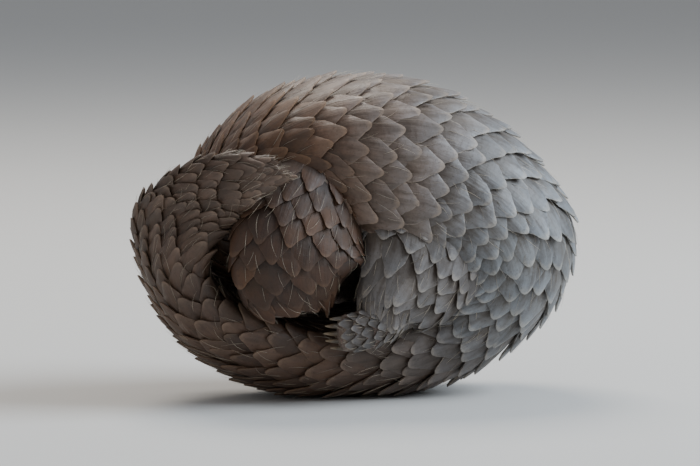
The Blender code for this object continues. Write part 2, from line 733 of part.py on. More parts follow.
def head_node(scales):
    """The head with its lids, lips and nose rims, cut by the mouth, nostrils, ear holes and sockets."""
    extras = lips()
    for side in (LEFT, RIGHT):
        extras += lids(side) + [nose_wing(side)]
    obj = body_node(*CUTS[0], scales, extras)
    cutters = [groove(BODY, mouth_path(0), MOUTH_HALF, MOUTH_DEPTH)]
    for side in (LEFT, RIGHT):
        nostril = BODY.lifted(NOSTRIL_AT[0], side * NOSTRIL_AT[1], 0)
        ear_hole = BODY.lifted(EAR_AT[0], side * EAR_AT[1], -EAR_HOLE_SINK)
        cutters.append(ball("socket", eye_place(side), EYE_RADIUS + GAP, 2))
        cutters.append(ball("nostril", nostril, NOSTRIL, 1))
        cutters.append(ball("ear_hole", ear_hole, EAR_HOLE, 1))
        cutters.append(ear("ear_root", side, GAP))
    combine(obj, cutters, "DIFFERENCE")
    return obj


def floor_cut(obj):
    """Cuts off what would reach below the floor, which leaves the small flats that the ball rests on."""
    bm = bmesh.new()
    bmesh.ops.create_cube(bm, size=FLOOR_BLOCK)
    bmesh.ops.translate(bm, vec=(0, 0, FLOOR_BLOCK / 2), verts=bm.verts)
    combine(obj, [object_from(bm, "above_floor")], "INTERSECT")


def finish(obj, look, smooth=False):
    colour, roughness = look
    material = bpy.data.materials.new(obj.name)
    material.use_nodes = True
    shader = material.node_tree.nodes["Principled BSDF"]
    shader.inputs["Base Color"].default_value = (*colour, 1)
    shader.inputs["Roughness"].default_value = roughness
    shader.inputs["Metallic"].default_value = 0
    obj.data.materials.clear()
    obj.data.materials.append(material)
    if smooth:
        obj.data.shade_smooth()
    else:
        obj.data.shade_flat()


def clear_scene():
    for obj in list(bpy.data.objects):
        bpy.data.objects.remove(obj)


def main():
    clear_scene()
    scales = body_scales()
    nodes = {CUTS[0][0]: head_node(scales)}
    for name, first, last in CUTS[1:]:
        nodes[name] = body_node(name, first, last, scales)
    for side, word in ((LEFT, "left"), (RIGHT, "right")):
        fore = (side, FORELEG, FORE_PAW, FORELEG_SCALES, FORE_CLAWS)
        hind = (side, HINDLEG, HIND_PAW, HINDLEG_SCALES, HIND_CLAWS)
        for leg, trunks in ((fore, FORELEG_TRUNKS), (hind, HINDLEG_TRUNKS)):
            for trunk in trunks:
                combine(nodes[trunk], [leg_node("pocket", *leg, room=POCKET_GAP)], "DIFFERENCE")
        nodes[f"foreleg_{word}"] = leg_node(f"foreleg_{word}", *fore)
        nodes[f"hindleg_{word}"] = leg_node(f"hindleg_{word}", *hind)
        finish(ear(f"ear_{word}", side), FLESH)
        finish(ball(f"eye_{word}", eye_place(side), EYE_RADIUS, 2), EYE_DARK, smooth=True)
    for name in ON_FLOOR:
        floor_cut(nodes[name])
    for obj in nodes.values():
        finish(obj, HORN)


main()
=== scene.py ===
"""The looks of a life-size Sunda pangolin, rolled up into its defensive ball: skin, horn scales, claws,
eyes and hair. Metres, +Z up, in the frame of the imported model; the floor is z = 0 and the animal's left
flank faces -Y. Each section makes one piece of the animal, with its sizes, mesh, finish and place.
"""
import math

import bpy
import numpy as np
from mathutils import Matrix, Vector


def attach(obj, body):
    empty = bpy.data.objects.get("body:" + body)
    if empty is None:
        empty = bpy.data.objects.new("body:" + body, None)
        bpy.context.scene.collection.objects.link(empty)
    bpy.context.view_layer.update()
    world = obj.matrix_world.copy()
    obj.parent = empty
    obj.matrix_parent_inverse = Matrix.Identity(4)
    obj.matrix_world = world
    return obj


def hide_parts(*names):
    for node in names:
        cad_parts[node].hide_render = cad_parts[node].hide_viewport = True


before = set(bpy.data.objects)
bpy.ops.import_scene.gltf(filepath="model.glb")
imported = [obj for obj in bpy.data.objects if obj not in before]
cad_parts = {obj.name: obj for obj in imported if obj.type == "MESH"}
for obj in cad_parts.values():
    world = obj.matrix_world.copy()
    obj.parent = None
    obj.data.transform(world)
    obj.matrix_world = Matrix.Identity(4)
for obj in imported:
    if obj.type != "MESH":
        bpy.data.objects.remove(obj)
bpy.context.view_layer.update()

bpy.ops.object.select_all(action="DESELECT")

# The trunk: one long soft body from the nose to the tail's tip, curled head to tail.
# It is bare grey-pink skin. Its rings run across the body at named stations, each given by a point on
# the back and one on the belly; the surface between them is a smooth curve through all of them.
MM = 0.001
LEFT, RIGHT = -1, 1
SIDE = np.array((0.0, 1.0, 0.0))
CENTRE_X, CENTRE_Y = 1.34, 0.02
# Station: back (x, z), belly (x, z), half width, height of the widest line as a share of the depth,
# shift towards +Y and roll towards the left side in degrees. Lengths in millimetres.
STATIONS = (
    ("nose_end", (-15.0, 51.5), (-10.5, 58.5), 5.4, 0.54, 0, 0),
    ("nose", (-21.0, 50.0), (-13.5, 63.0), 7.4, 0.54, 0, 0),
    ("muzzle", (-35.5, 54.5), (-20.5, 75.0), 10.6, 0.50, 0, 0),
    ("eyes", (-52.0, 60.0), (-27.5, 93.0), 17.5, 0.50, 0, 0),
    ("brow", (-70.0, 69.0), (-42.5, 106.0), 24.0, 0.52, 0, 0),
    ("crown", (-87.0, 80.5), (-57.0, 119.0), 27.5, 0.52, 0, 0),
    ("occiput", (-98.0, 97.0), (-65.0, 127.0), 30.0, 0.50, 0, 0),
    ("nape", (-102.0, 117.0), (-61.0, 130.0), 34.0, 0.48, 0, 0),
    ("neck", (-98.0, 138.0), (-55.0, 128.0), 41.0, 0.46, 0, 0),
    ("withers", (-81.0, 162.0), (-45.0, 122.0), 51.0, 0.44, 0, 0),
    ("shoulder", (-48.0, 184.0), (-31.0, 114.0), 64.0, 0.42, 0, 0),
    ("back", (-1.0, 195.0), (-15.0, 90.0), 76.0, 0.46, 0, 0),
    ("loin", (50.0, 187.0), (7.0, 82.0), 80.0, 0.46, 0, 0),
    ("hip", (101.0, 156.0), (20.0, 78.0), 79.0, 0.46, 0, 0),
    ("rump", (137.0, 106.0), (27.0, 73.0), 74.0, 0.45, 0, 0),
    ("croup", (125.0, 54.0), (34.0, 69.0), 65.0, 0.42, 0, 0),
    ("tail_root", (79.0, 18.5), (27.0, 58.0), 56.0, 0.36, 0, 0),
    ("tail_base", (36.0, 4.5), (12.0, 53.0), 51.0, 0.30, 0, 0),
    ("tail_sole", (-2.0, 2.8), (-6.0, 48.0), 49.0, 0.28, 0, 0),
    ("tail_bend", (-42.0, 5.5), (-30.0, 45.5), 46.0, 0.27, 0, 0),
    ("tail_rise", (-80.0, 19.5), (-58.0, 54.0), 44.0, 0.26, -1, -3),
    ("tail_side", (-114.0, 46.0), (-88.0, 71.0), 42.0, 0.27, -4, -8),
    ("tail_flank", (-132.0, 81.0), (-104.0, 91.5), 39.0, 0.30, -10, -2),
    ("tail_end", (-131.0, 112.0), (-108.0, 110.0), 34.0, 0.36, -23, 26),
    ("tail_taper", (-121.0, 134.0), (-104.0, 123.0), 25.5, 0.42, -42, 52),
    ("tail_fore_tip", (-99.0, 147.5), (-93.0, 135.5), 16.5, 0.46, -65, 69),
    ("tail_tip", (-75.0, 149.0), (-72.0, 143.0), 7.0, 0.50, -75, 76),
)
NAMES = [row[0] for row in STATIONS]
SQUARENESS = 0.86
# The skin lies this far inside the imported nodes' faces.
SKIN_INSET = 0.8 * MM


def spline(values, t):
    """Catmull-Rom through equally spaced numbers, straight past its ends; t counts stations from 0."""
    last = len(values) - 1
    i = np.clip(np.floor(t).astype(int), 0, last - 1)
    f = t - i
    a, b = values[i], values[i + 1]
    before = np.where(i > 0, values[np.maximum(i - 1, 0)], 2 * values[0] - values[1])
    after = np.where(i + 2 <= last, values[np.minimum(i + 2, last)], 2 * values[last] - values[last - 1])
    inside = 0.5 * (
        2 * a
        + (b - before) * f
        + (2 * before - 5 * a + 4 * b - after) * f ** 2
        + (3 * a - before - 3 * b + after) * f ** 3
    )
    low = values[0] + (values[1] - values[0]) * t
    high = values[last] + (values[last] - values[last - 1]) * (t - last)
    return np.where(t < 0, low, np.where(t > last, high, inside))


def power(value, exponent):
    return np.sign(value) * np.abs(value) ** exponent


def unit(vectors):
    return vectors / np.maximum(np.linalg.norm(vectors, axis=-1, keepdims=True), 1e-12)


def column(numbers, scale=MM, shift=0.0):
    return np.array([(n - shift) * scale for n in numbers])


BACK = [column((row[1][k] for row in STATIONS), shift=(CENTRE_X, 0)[k]) for k in (0, 1)]
BELLY = [column((row[2][k] for row in STATIONS), shift=(CENTRE_X, 0)[k]) for k in (0, 1)]
HALF_WIDTH = column(row[3] for row in STATIONS)
WIDEST = column((row[4] for row in STATIONS), scale=1)
SHIFT = column((row[5] for row in STATIONS), shift=CENTRE_Y)
ROLL = np.radians([row[6] for row in STATIONS])


def station(t):
    """The belly's point, the way up to the back, the depth, the widest line's share and the shift."""
    belly = np.stack([spline(BELLY[0], t), np.zeros_like(t), spline(BELLY[1], t)], -1)
    back = np.stack([spline(BACK[0], t), np.zeros_like(t), spline(BACK[1], t)], -1)
    depth = np.linalg.norm(back - belly, axis=-1)
    return belly, (back - belly) / depth[..., None], depth, spline(WIDEST, t), spline(SHIFT, t)


def body_middle(t):
    belly, up, depth, widest, shift = station(t)
    return belly + up * (widest * depth)[..., None] + SIDE * shift[..., None]


def body_point(t, turn):
    """Turn 0 is the middle of the back, minus a right angle the left flank."""
    t, turn = np.broadcast_arrays(np.asarray(t, float), np.asarray(turn, float))
    belly, up, depth, widest, shift = station(t)
    c, s, roll = np.cos(turn), np.sin(turn), spline(ROLL, t)
    high = power(c, SQUARENESS) * np.where(c >= 0, 1 - widest, widest) * depth
    wide = power(s, SQUARENESS) * spline(HALF_WIDTH, t)
    high, wide = high * np.cos(roll) + wide * np.sin(roll), wide * np.cos(roll) - high * np.sin(roll)
    return belly + up * (widest * depth + high)[..., None] + SIDE * (wide + shift)[..., None]


class Form:
    """A smooth surface of two numbers: t counts the stations along it, turn goes round it."""

    # The step that slopes are taken over, the samples to a station for lengths and for girths, the
    # samples of half an outline, the share of it that a place may reach, and the surface's least stretch.
    STEP = 0.01
    FINE = 24
    COARSE = 6
    TURNS = 48
    REACH = 0.97
    LEAST_STRETCH = 0.65

    def __init__(self, point, middle, last):
        self.point, self.middle, self.last = point, middle, last
        self.ts = np.arange(-self.FINE, (last + 1) * self.FINE + 1) / self.FINE
        steps = np.linalg.norm(np.diff(point(self.ts, 0.0), axis=0), axis=1)
        self.lengths = np.concatenate([[0], np.cumsum(steps)])
        self.lengths -= np.interp(0, self.ts, self.lengths)
        rows = np.arange(last * self.COARSE + 1) / self.COARSE
        outlines = point(rows[:, None], np.linspace(0, math.pi, self.TURNS + 1)[None, :])
        steps = np.linalg.norm(np.diff(outlines, axis=1), axis=2)
        self.outlines = np.concatenate([np.zeros((len(rows), 1)), np.cumsum(steps, 1)], 1)

    def t_at(self, length):
        return np.interp(length, self.lengths, self.ts)

    def length_at(self, t):
        return np.interp(t, self.ts, self.lengths)

    def arcs(self, t):
        """Lengths round the outline from turn 0 to each of the even turns up to half a turn."""
        row = np.clip(np.asarray(t, float) * self.COARSE, 0, len(self.outlines) - 1.001)
        i = row.astype(int)
        f = (row - i)[..., None]
        return self.outlines[i] * (1 - f) + self.outlines[i + 1] * f

    def half_girth(self, t):
        return self.arcs(t)[..., -1]

    def out_at(self, t, turn):
        """How far round the outline the turn is, with its sign."""
        step = np.minimum(np.abs(turn) / math.pi * self.TURNS, self.TURNS - 1e-6)
        i = step.astype(int)[..., None]
        arcs = self.arcs(t)
        a, b = (np.take_along_axis(arcs, i + k, -1)[..., 0] for k in (0, 1))
        return np.sign(turn) * (a + (b - a) * (step - i[..., 0]))

    def turn_at(self, t, out):
        arcs = self.arcs(t)
        far = np.minimum(np.abs(out), arcs[..., -1] * self.REACH)
        i = np.clip((arcs <= far[..., None]).sum(-1), 1, self.TURNS)[..., None]
        a, b = (np.take_along_axis(arcs, i - k, -1)[..., 0] for k in (1, 0))
        return np.sign(out) * (i[..., 0] - 1 + (far - a) / (b - a)) * math.pi / self.TURNS

    def frame(self, t, turn):
        """Points, outward normals and the way of growing t."""
        here = self.point(t, turn)
        along = self.point(t + self.STEP, turn) - self.point(t - self.STEP, turn)
        across = self.point(t, turn + self.STEP) - self.point(t, turn - self.STEP)
        normal = unit(np.cross(along, across))
        inward = ((here - self.middle(t)) * normal).sum(-1, keepdims=True) < 0
        return here, np.where(inward, -normal, normal), unit(along)

    def near(self, t, turn, ahead, beside):
        """The t and turn found so far ahead of and beside each spot, measured on the surface."""
        start, share = self.length_at(t), self.out_at(t, turn) / self.half_girth(t)
        real = np.linalg.norm(self.point(t + self.STEP, turn) - self.point(t - self.STEP, turn), axis=-1)
        run = self.length_at(t + self.STEP) - self.length_at(t - self.STEP)
        stretch = np.clip(real / run, self.LEAST_STRETCH, 1 / self.LEAST_STRETCH)
        there = self.t_at(start[..., None] + ahead / stretch[..., None])
        return there, self.turn_at(there, share[..., None] * self.half_girth(there) + beside)


BODY = Form(body_point, body_middle, len(STATIONS) - 1)

# The face on the same skin: thick swollen lids round a small eye, a short mouth line under the nose with
# soft lips, two nostrils in a bare nose pad, and the pit of each ear. They are raised and sunk in the
# skin's own rings, which lie closest on the muzzle. Places are a station and a turn.
EYE_AT = (3.3, math.radians(78))
EYE_RADIUS, EYE_SINK = 4.0 * MM, 1.2 * MM
LID_RING, LID_LONG, LID_WIDTH, LID_RISE = 4.7 * MM, 1.25, 1.5 * MM, 1.9 * MM
LID_CREST, UPPER_LID, LID_REACH = 1.15, 0.25, 3
LID_FOLD, LID_FOLD_WIDTH, LID_FOLD_RISE = 1.95, 0.7, 0.5 * MM
SOCKET_SHARE, SOCKET_DEPTH, SOCKET_POWER = 0.84, 4.5 * MM, 4
MOUTH_TURN = math.radians(122)
MOUTH_BACK, MOUTH_FRONT, MOUTH_ROOM = 2.35, 0.6, 0.6
MOUTH_STEPS, NOSE_STEPS = 60, 40
MOUTH_HALF, MOUTH_DEPTH = 0.75 * MM, 2.2 * MM
LIP_OFF, LIP_WIDTH, LIP_RISE = 2.3 * MM, 1.4 * MM, 1.0 * MM
NOSTRIL_AT = (0.12, math.radians(68))
NOSTRIL_RADIUS, NOSTRIL_DEPTH = 1.3 * MM, 2.6 * MM
NOSTRIL_RIM, NOSTRIL_RIM_RISE = 2.2, 0.8 * MM
EAR_AT = (5.1, math.radians(82))
EAR_PIT, EAR_PIT_DEPTH = 3.4 * MM, 4.0 * MM
WRINKLE_PITCH, WRINKLE_WAVE, WRINKLE_RISE = 1.9 * MM, 2.2, 0.28 * MM
WRINKLE_TURNS, WRINKLE_SLANT, WRINKLED = (3, 5), 1.3, (0.4, 5.5)
HEAD_LAST = 6.0
HEAD_RING, TRUNK_RING = 0.8 * MM, 4.0 * MM
ROUND = 168
CAP_RINGS, CAP_BULGE, CAP_LEAST = 7, 2.6 * MM, 1e-4


def bump(distance, width):
    return np.exp(-(distance / width) ** 2)


def spot(form, place, side=1):
    """One point of a form with its outward normal, its way along and the way across."""
    t, turn = np.array(place[0]), np.array(place[1] * side)
    here, normal, along = form.frame(t, turn)
    return here, normal, along, np.cross(normal, along)


def ring_distance(points, centre, along, across, long_share):
    """Distance from a centre on a surface, with the way along it shortened."""
    away = points - centre
    return np.hypot((away @ along) / long_share, away @ across)


def mouth_line():
    """Points from the right corner of the mouth round under the nose to the left corner."""
    t = np.linspace(MOUTH_BACK, MOUTH_FRONT, MOUTH_STEPS)
    right = np.full_like(t, MOUTH_TURN)
    front = np.linspace(MOUTH_TURN, 2 * math.pi - MOUTH_TURN, NOSE_STEPS)
    both = [(t, right), (np.full_like(front, MOUTH_FRONT), front), (t[::-1], 2 * math.pi - right)]
    return np.concatenate([body_point(a, b) for a, b in both])


def face_relief(points, t, turn):
    """How far each skin point near the head is raised."""
    lift = np.zeros(len(points))
    for side in (LEFT, RIGHT):
        here, normal, along, across = spot(BODY, EYE_AT, side)
        away = ring_distance(points, here, along, across, LID_LONG)
        near = np.linalg.norm(points - here, axis=1) < LID_REACH * LID_RING
        over = np.sign(-side * ((points - here) @ across))
        upper = 1 + UPPER_LID * over * bump(away - LID_RING, LID_WIDTH)
        lift += near * LID_RISE * upper * bump(away - LID_RING * LID_CREST, LID_WIDTH)
        hollow = 1 - (away / (LID_RING * SOCKET_SHARE)) ** SOCKET_POWER
        lift -= near * SOCKET_DEPTH * np.clip(hollow, 0, 1)
        lift += near * LID_FOLD_RISE * bump(away - LID_RING * LID_FOLD, LID_WIDTH * LID_FOLD_WIDTH)
        here = spot(BODY, NOSTRIL_AT, side)[0]
        away = np.linalg.norm(points - here, axis=1)
        lift += NOSTRIL_RIM_RISE * bump(away - NOSTRIL_RIM * NOSTRIL_RADIUS, NOSTRIL_RADIUS)
        lift -= NOSTRIL_DEPTH * bump(away, NOSTRIL_RADIUS)
        here = spot(BODY, EAR_AT, side)[0]
        away = np.linalg.norm(points - here, axis=1)
        lift -= EAR_PIT_DEPTH * bump(away, EAR_PIT)
    line = mouth_line()
    away = np.full(len(points), 1.0)
    front = t < MOUTH_BACK + MOUTH_ROOM
    away[front] = np.linalg.norm(points[front, None] - line[None], axis=2).min(1)
    lift += LIP_RISE * bump(away - LIP_OFF, LIP_WIDTH) - MOUTH_DEPTH * bump(away, MOUTH_HALF)
    waves, breaks = WRINKLE_TURNS
    folds = np.sin(BODY.length_at(t) / WRINKLE_PITCH + WRINKLE_WAVE * np.sin(waves * turn))
    folds = folds * np.sin(breaks * turn + WRINKLE_SLANT * t)
    first, last = WRINKLED
    return lift + WRINKLE_RISE * folds * np.clip(t - first, 0, 1) * np.clip(last - t, 0, 1)


def points_of(obj):
    return np.array([v.co for v in obj.data.vertices])


def keep_notes(mesh, notes):
    """Named vectors kept on the mesh's points."""
    for key, values in notes.items():
        mesh.attributes.new(key, "FLOAT_VECTOR", "POINT").data.foreach_set("vector", values.ravel())


def lapped(values):
    """A grid's values with its first column again after the last, where its side seam closes."""
    return np.concatenate([values, values[:, :1]], 1)


def piece_from_grid(name, points, notes=None):
    """A grid primitive whose rows are laid on rings of points, its side seam and its ends closed.

    Notes are named vectors kept on its points, given ring by ring as the points are.
    """
    rows, columns = points.shape[:2]
    bpy.ops.mesh.primitive_grid_add(x_subdivisions=columns, y_subdivisions=rows - 1)
    obj = bpy.context.object
    obj.name = obj.data.name = name
    obj.data.vertices.foreach_set("co", lapped(points).ravel())
    keep_notes(obj.data, {key: lapped(values) for key, values in (notes or {}).items()})
    obj.data.update()
    bpy.ops.object.mode_set(mode="EDIT")
    bpy.ops.mesh.select_all(action="SELECT")
    bpy.ops.mesh.remove_doubles(threshold=1e-6)
    bpy.ops.mesh.select_all(action="DESELECT")
    bpy.ops.mesh.select_non_manifold()
    bpy.ops.mesh.fill_holes(sides=0)
    bpy.ops.mesh.select_all(action="SELECT")
    bpy.ops.mesh.normals_make_consistent(inside=False)
    bpy.ops.object.mode_set(mode="OBJECT")
    obj.select_set(False)
    return obj


def rounded_ends(rings, bulge):
    """Rings with a rounded cap of smaller rings before the first and after the last."""
    caps = []
    for ring, inner in ((rings[0], rings[1]), (rings[-1], rings[-2])):
        middle = ring.mean(0)
        push = unit(middle - inner.mean(0)) * bulge
        turns = np.linspace(0, math.pi / 2, CAP_RINGS + 1)[1:]
        shares = [(max(math.cos(turn), CAP_LEAST), math.sin(turn)) for turn in turns]
        caps.append([middle + (ring - middle) * wide + push * out for wide, out in shares])
    return np.concatenate([caps[0][::-1], rings, caps[1]])


def skin_rings(form, lengths, around, relief=None, bulge=CAP_BULGE):
    t = form.t_at(np.asarray(lengths))
    turns = np.arange(around) * 2 * math.pi / around
    t_grid, turn_grid = np.meshgrid(t, turns, indexing="ij")
    here, normal, _ = form.frame(t_grid, turn_grid)
    lift = np.full(t_grid.shape, -SKIN_INSET)
    if relief is not None:
        head = t < HEAD_LAST
        raised = relief(here[head].reshape(-1, 3), t_grid[head].ravel(), turn_grid[head].ravel())
        lift[head] += raised.reshape(lift[head].shape)
    return rounded_ends(here + normal * lift[..., None], bulge)


head_end, tail_end = BODY.length_at(HEAD_LAST), BODY.length_at(BODY.last)
head_rings, trunk_rings = np.arange(0, head_end, HEAD_RING), np.arange(head_end, tail_end, TRUNK_RING)
lengths = np.concatenate([head_rings, trunk_rings, [tail_end]])
skin = piece_from_grid("skin", skin_rings(BODY, lengths, ROUND, face_relief))

# The legs: bare skin on the inside, folded against the chest and the belly, with short thick paws.
# The long claws grow from blunt toes, and each sole has a few soft pads. Limb, paw, toes and pads are
# melted into one surface by a voxel remesh, then joined to the trunk.
LEG_RING, LEG_ROUND = 4.0 * MM, 40
LEG_SMOOTH = 0.4
LEG_VOXEL, LEG_MELT = 1.5 * MM, 4
# Legs and paws, root to end: place (x, distance from the middle plane, z), half breadth, half thickness.
# Lengths in millimetres, as in the tables of claws and pads.
FORELEG = (
    (-34, 40, 146, 22, 13),
    (-40, 51, 135, 29, 16),
    (-48, 58.5, 117, 36, 17.5),
    (-55, 63, 97, 42, 18),
    (-54, 61, 79, 38, 16),
    (-47, 55, 67, 22, 12),
)
FORE_PAW = ((-38, 56, 76, 11, 9), (-48, 52, 71, 14, 11), (-60, 45, 70, 14, 9), (-70, 41, 75, 11, 6))
HINDLEG = (
    (36, 38, 128, 31, 14),
    (32.5, 51, 112, 41.5, 19),
    (28, 58, 92, 43, 20),
    (15, 62, 73, 33, 18),
    (3, 65, 59, 21, 14),
    (1, 66, 51, 11, 11),
)
HIND_PAW = ((10, 66, 57, 10, 9), (-2, 67, 51, 13, 11), (-18, 67, 46, 13, 10), (-31, 65, 45, 10, 7))
# Claws: place across the paw as a share of its breadth, length along the curve, radius at the root.
FORE_CLAWS = ((-0.85, 10, 2.2), (-0.45, 23, 3.2), (0.02, 31, 3.8), (0.48, 24, 3.3), (0.85, 11, 2.3))
HIND_CLAWS = ((-0.80, 9, 2.2), (-0.40, 12, 2.7), (0.00, 13, 2.9), (0.40, 12, 2.7), (0.80, 9, 2.2))
CLAW_SINK = 0.35
TOE_SHARE, TOE_LENGTH, TOE_BACK = 1.3, 5.0 * MM, 0.35
# Pads of the sole: station, place across as a share of the breadth, size.
PADS = ((1.1, 0.0, 6.5), (2.1, -0.45, 5.0), (2.1, 0.45, 5.0))
PAD_DEPTH, PAD_SHAPE = 0.72, np.array((1, 0.8, 0.45))
BALL_SEGMENTS, BALL_RINGS = 20, 12


def leg_form(rows, side):
    """A leg or paw: turn 0 is its outer side, and t runs from its root to its end."""
    x = column((row[0] for row in rows), shift=CENTRE_X)
    y = column((row[1] * side for row in rows), shift=CENTRE_Y)
    z, broad, thick = (column(row[k] for row in rows) for k in (2, 3, 4))

    def middle(t):
        t = np.asarray(t, float)
        return np.stack([spline(x, t), spline(y, t), spline(z, t)], -1)

    def point(t, turn):
        t, turn = np.broadcast_arrays(np.asarray(t, float), np.asarray(turn, float))
        ahead = unit(middle(t + LEG_SMOOTH) - middle(t - LEG_SMOOTH))
        out = unit(SIDE * side - ahead * (side * ahead[..., 1:2]))
        breadth = np.cross(ahead, out) * side
        high, wide = np.cos(turn) * spline(thick, t), np.sin(turn) * spline(broad, t)
        return middle(t) + out * high[..., None] + breadth * wide[..., None]

    return Form(point, middle, len(rows) - 1)


def paw_lie(paw, side, t):
    """A paw's middle at t with its ways ahead, outwards and across."""
    middle = paw.middle(np.array(t))
    ahead = unit(paw.middle(np.array(float(paw.last))) - middle)
    out = unit(SIDE * side - ahead * side * ahead[1])
    return middle, ahead, out, np.cross(ahead, out) * side


def claw_root(paw, side, share):
    t = paw.last - CLAW_SINK
    middle, ahead, out, breadth = paw_lie(paw, side, t)
    half = np.linalg.norm(paw.point(np.array(t), np.array(math.pi / 2)) - middle)
    return middle + breadth * share * half, ahead, out


def ellipsoid(name, centre, axes, sizes):
    """A sphere primitive stretched along three given ways."""
    bpy.ops.mesh.primitive_uv_sphere_add(segments=BALL_SEGMENTS, ring_count=BALL_RINGS, radius=1)
    obj = bpy.context.object
    obj.name = name
    points = points_of(obj) * sizes
    obj.data.vertices.foreach_set("co", (centre + points @ np.array(axes)).ravel())
    obj.data.update()
    obj.select_set(False)
    return obj


def join(parts, name):
    bpy.ops.object.select_all(action="DESELECT")
    for part in parts:
        part.select_set(True)
    bpy.context.view_layer.objects.active = parts[0]
    bpy.ops.object.join()
    parts[0].name = parts[0].data.name = name
    parts[0].select_set(False)
    return parts[0]


def apply_modifier(obj, kind, **settings):
    modifier = obj.modifiers.new(kind.lower(), kind)
    for key, value in settings.items():
        setattr(modifier, key, value)
    bpy.context.view_layer.objects.active = obj
    bpy.ops.object.modifier_apply(modifier=modifier.name)


LIMBS = {}
for word, side in (("left", LEFT), ("right", RIGHT)):
    for kind, leg_rows, paw_rows, claws in (
        ("foreleg", FORELEG, FORE_PAW, FORE_CLAWS),
        ("hindleg", HINDLEG, HIND_PAW, HIND_CLAWS),
    ):
        leg, paw = leg_form(leg_rows, side), leg_form(paw_rows, side)
        LIMBS[f"{kind}_{word}"] = (kind, side, leg, paw, claws)

limb_skins = []
for name, (kind, side, leg, paw, claws) in LIMBS.items():
    parts = []
    for form in (leg, paw):
        lengths = np.arange(0, form.length_at(form.last), LEG_RING)
        parts.append(piece_from_grid("limb", skin_rings(form, lengths, LEG_ROUND)))
    for share, length, radius in claws:
        root, ahead, out = claw_root(paw, side, share)
        axes = (ahead, np.cross(out, ahead), out)
        sizes = (TOE_LENGTH, radius * TOE_SHARE * MM, radius * TOE_SHARE * MM)
        parts.append(ellipsoid("toe", root - ahead * TOE_LENGTH * TOE_BACK, axes, sizes))
    for t, share, size in PADS:
        middle, ahead, out, breadth = paw_lie(paw, side, t)
        inner = paw.point(np.array(t), np.array(math.pi)) - middle
        half = np.linalg.norm(paw.point(np.array(t), np.array(math.pi / 2)) - middle)
        centre = middle + inner * PAD_DEPTH + breadth * share * half
        parts.append(ellipsoid("pad", centre, (ahead, breadth, out), PAD_SHAPE * size * MM))
    limb = join(parts, name + "_skin")
    apply_modifier(limb, "REMESH", mode="VOXEL", voxel_size=LEG_VOXEL)
    apply_modifier(limb, "SMOOTH", factor=0.5, iterations=LEG_MELT)
    limb_skins.append(limb)

# The ears: each a low fleshy crescent behind the ear's pit, as Asian pangolins have, thick at its root
# and thinner along its rim, leaning back over the neck. It is skin, and is joined to the trunk's.
EAR_RING = (5.2 * MM, 7.2 * MM)
EAR_RISE, EAR_WALL, EAR_RIM, EAR_LEAN, EAR_ROOT = 5.2 * MM, 1.45 * MM, 0.55, 0.45, 2.2 * MM
EAR_FALL, EAR_THIN, EAR_WAVES, EAR_WAVE_RISE = 0.7, 0.35, 9, 0.35 * MM
EAR_REACH = math.radians(124)
EAR_RINGS, EAR_ROUND, EAR_BULGE, EAR_LEAN_POWER = 30, 14, 0.5, 1.5

ears = []
for side in (LEFT, RIGHT):
    turns = np.linspace(-1, 1, EAR_RINGS)[:, None]
    section = np.linspace(0, 2 * math.pi, EAR_ROUND, endpoint=False)[None, :]
    high = EAR_RISE * (1 - EAR_FALL * turns ** 2) + EAR_WAVE_RISE * np.sin(EAR_WAVES * turns)
    climb = (1 + np.sin(section)) / 2
    wall = EAR_WALL * (1 - EAR_THIN * turns ** 2) * (1 - (1 - EAR_RIM) * climb)
    out = wall * np.cos(section) + high * EAR_LEAN * climb ** EAR_LEAN_POWER
    lift = -EAR_ROOT + (high + EAR_ROOT) * climb - SKIN_INSET
    ahead = (EAR_RING[0] + out) * np.cos(turns * EAR_REACH)
    beside = (EAR_RING[1] + out) * np.sin(turns * EAR_REACH)
    at_t, at_turn = np.full(1, EAR_AT[0]), np.full(1, EAR_AT[1] * side)
    t, turn = BODY.near(at_t, at_turn, ahead.reshape(1, -1), beside.reshape(1, -1))
    here, normal, _ = BODY.frame(t, turn)
    points = (here + normal * lift.reshape(1, -1)[..., None]).reshape(EAR_RINGS, EAR_ROUND, 3)
    ears.append(piece_from_grid("ear", rounded_ends(points, EAR_WALL * EAR_BULGE)))

group = bpy.data.collections.new("joined_to_trunk")
for part in limb_skins + ears:
    group.objects.link(part)
union = {"operation": "UNION", "solver": "MANIFOLD", "operand_type": "COLLECTION", "collection": group}
apply_modifier(skin, "BOOLEAN", **union)
for part in limb_skins + ears:
    bpy.data.objects.remove(part)
bpy.data.collections.remove(group)
skin.data.shade_smooth()


def fill(tree, node, sockets):
    """Give each named socket of a node a number, a colour or another socket."""
    for key, value in sockets.items():
        if isinstance(value, bpy.types.NodeSocket):
            tree.links.new(value, node.inputs[key])
        else:
            node.inputs[key].default_value = value
    return node


def add(tree, kind, sockets, **settings):
    node = tree.nodes.new("ShaderNode" + kind)
    for key, value in settings.items():
        setattr(node, key, value)
    return fill(tree, node, sockets)


def use(tree, group, sockets):
    return add(tree, "Group", sockets, node_tree=group).outputs


def sums(tree, operation, *values):
    return add(tree, "Math", dict(enumerate(values)), operation=operation).outputs[0]


def times(tree, first, second, plus=0.0):
    return sums(tree, "MULTIPLY_ADD", first, second, plus)


def between(tree, value, low, high):
    """0 below the low value, 1 above the high one, smooth between them."""
    sockets = {"Value": value, "From Min": low, "From Max": high}
    return add(tree, "MapRange", sockets, interpolation_type="SMOOTHSTEP").outputs["Result"]


def mixed(tree, share, first, second, how="MIX"):
    sockets = {0: share, 6: first, 7: second}
    return add(tree, "Mix", sockets, data_type="RGBA", blend_type=how).outputs[2]


def layered(tree, colour, layers):
    """A colour under layers, each the share of it that shows and its own colour."""
    for share, over in layers:
        colour = mixed(tree, share, colour, over)
    return colour


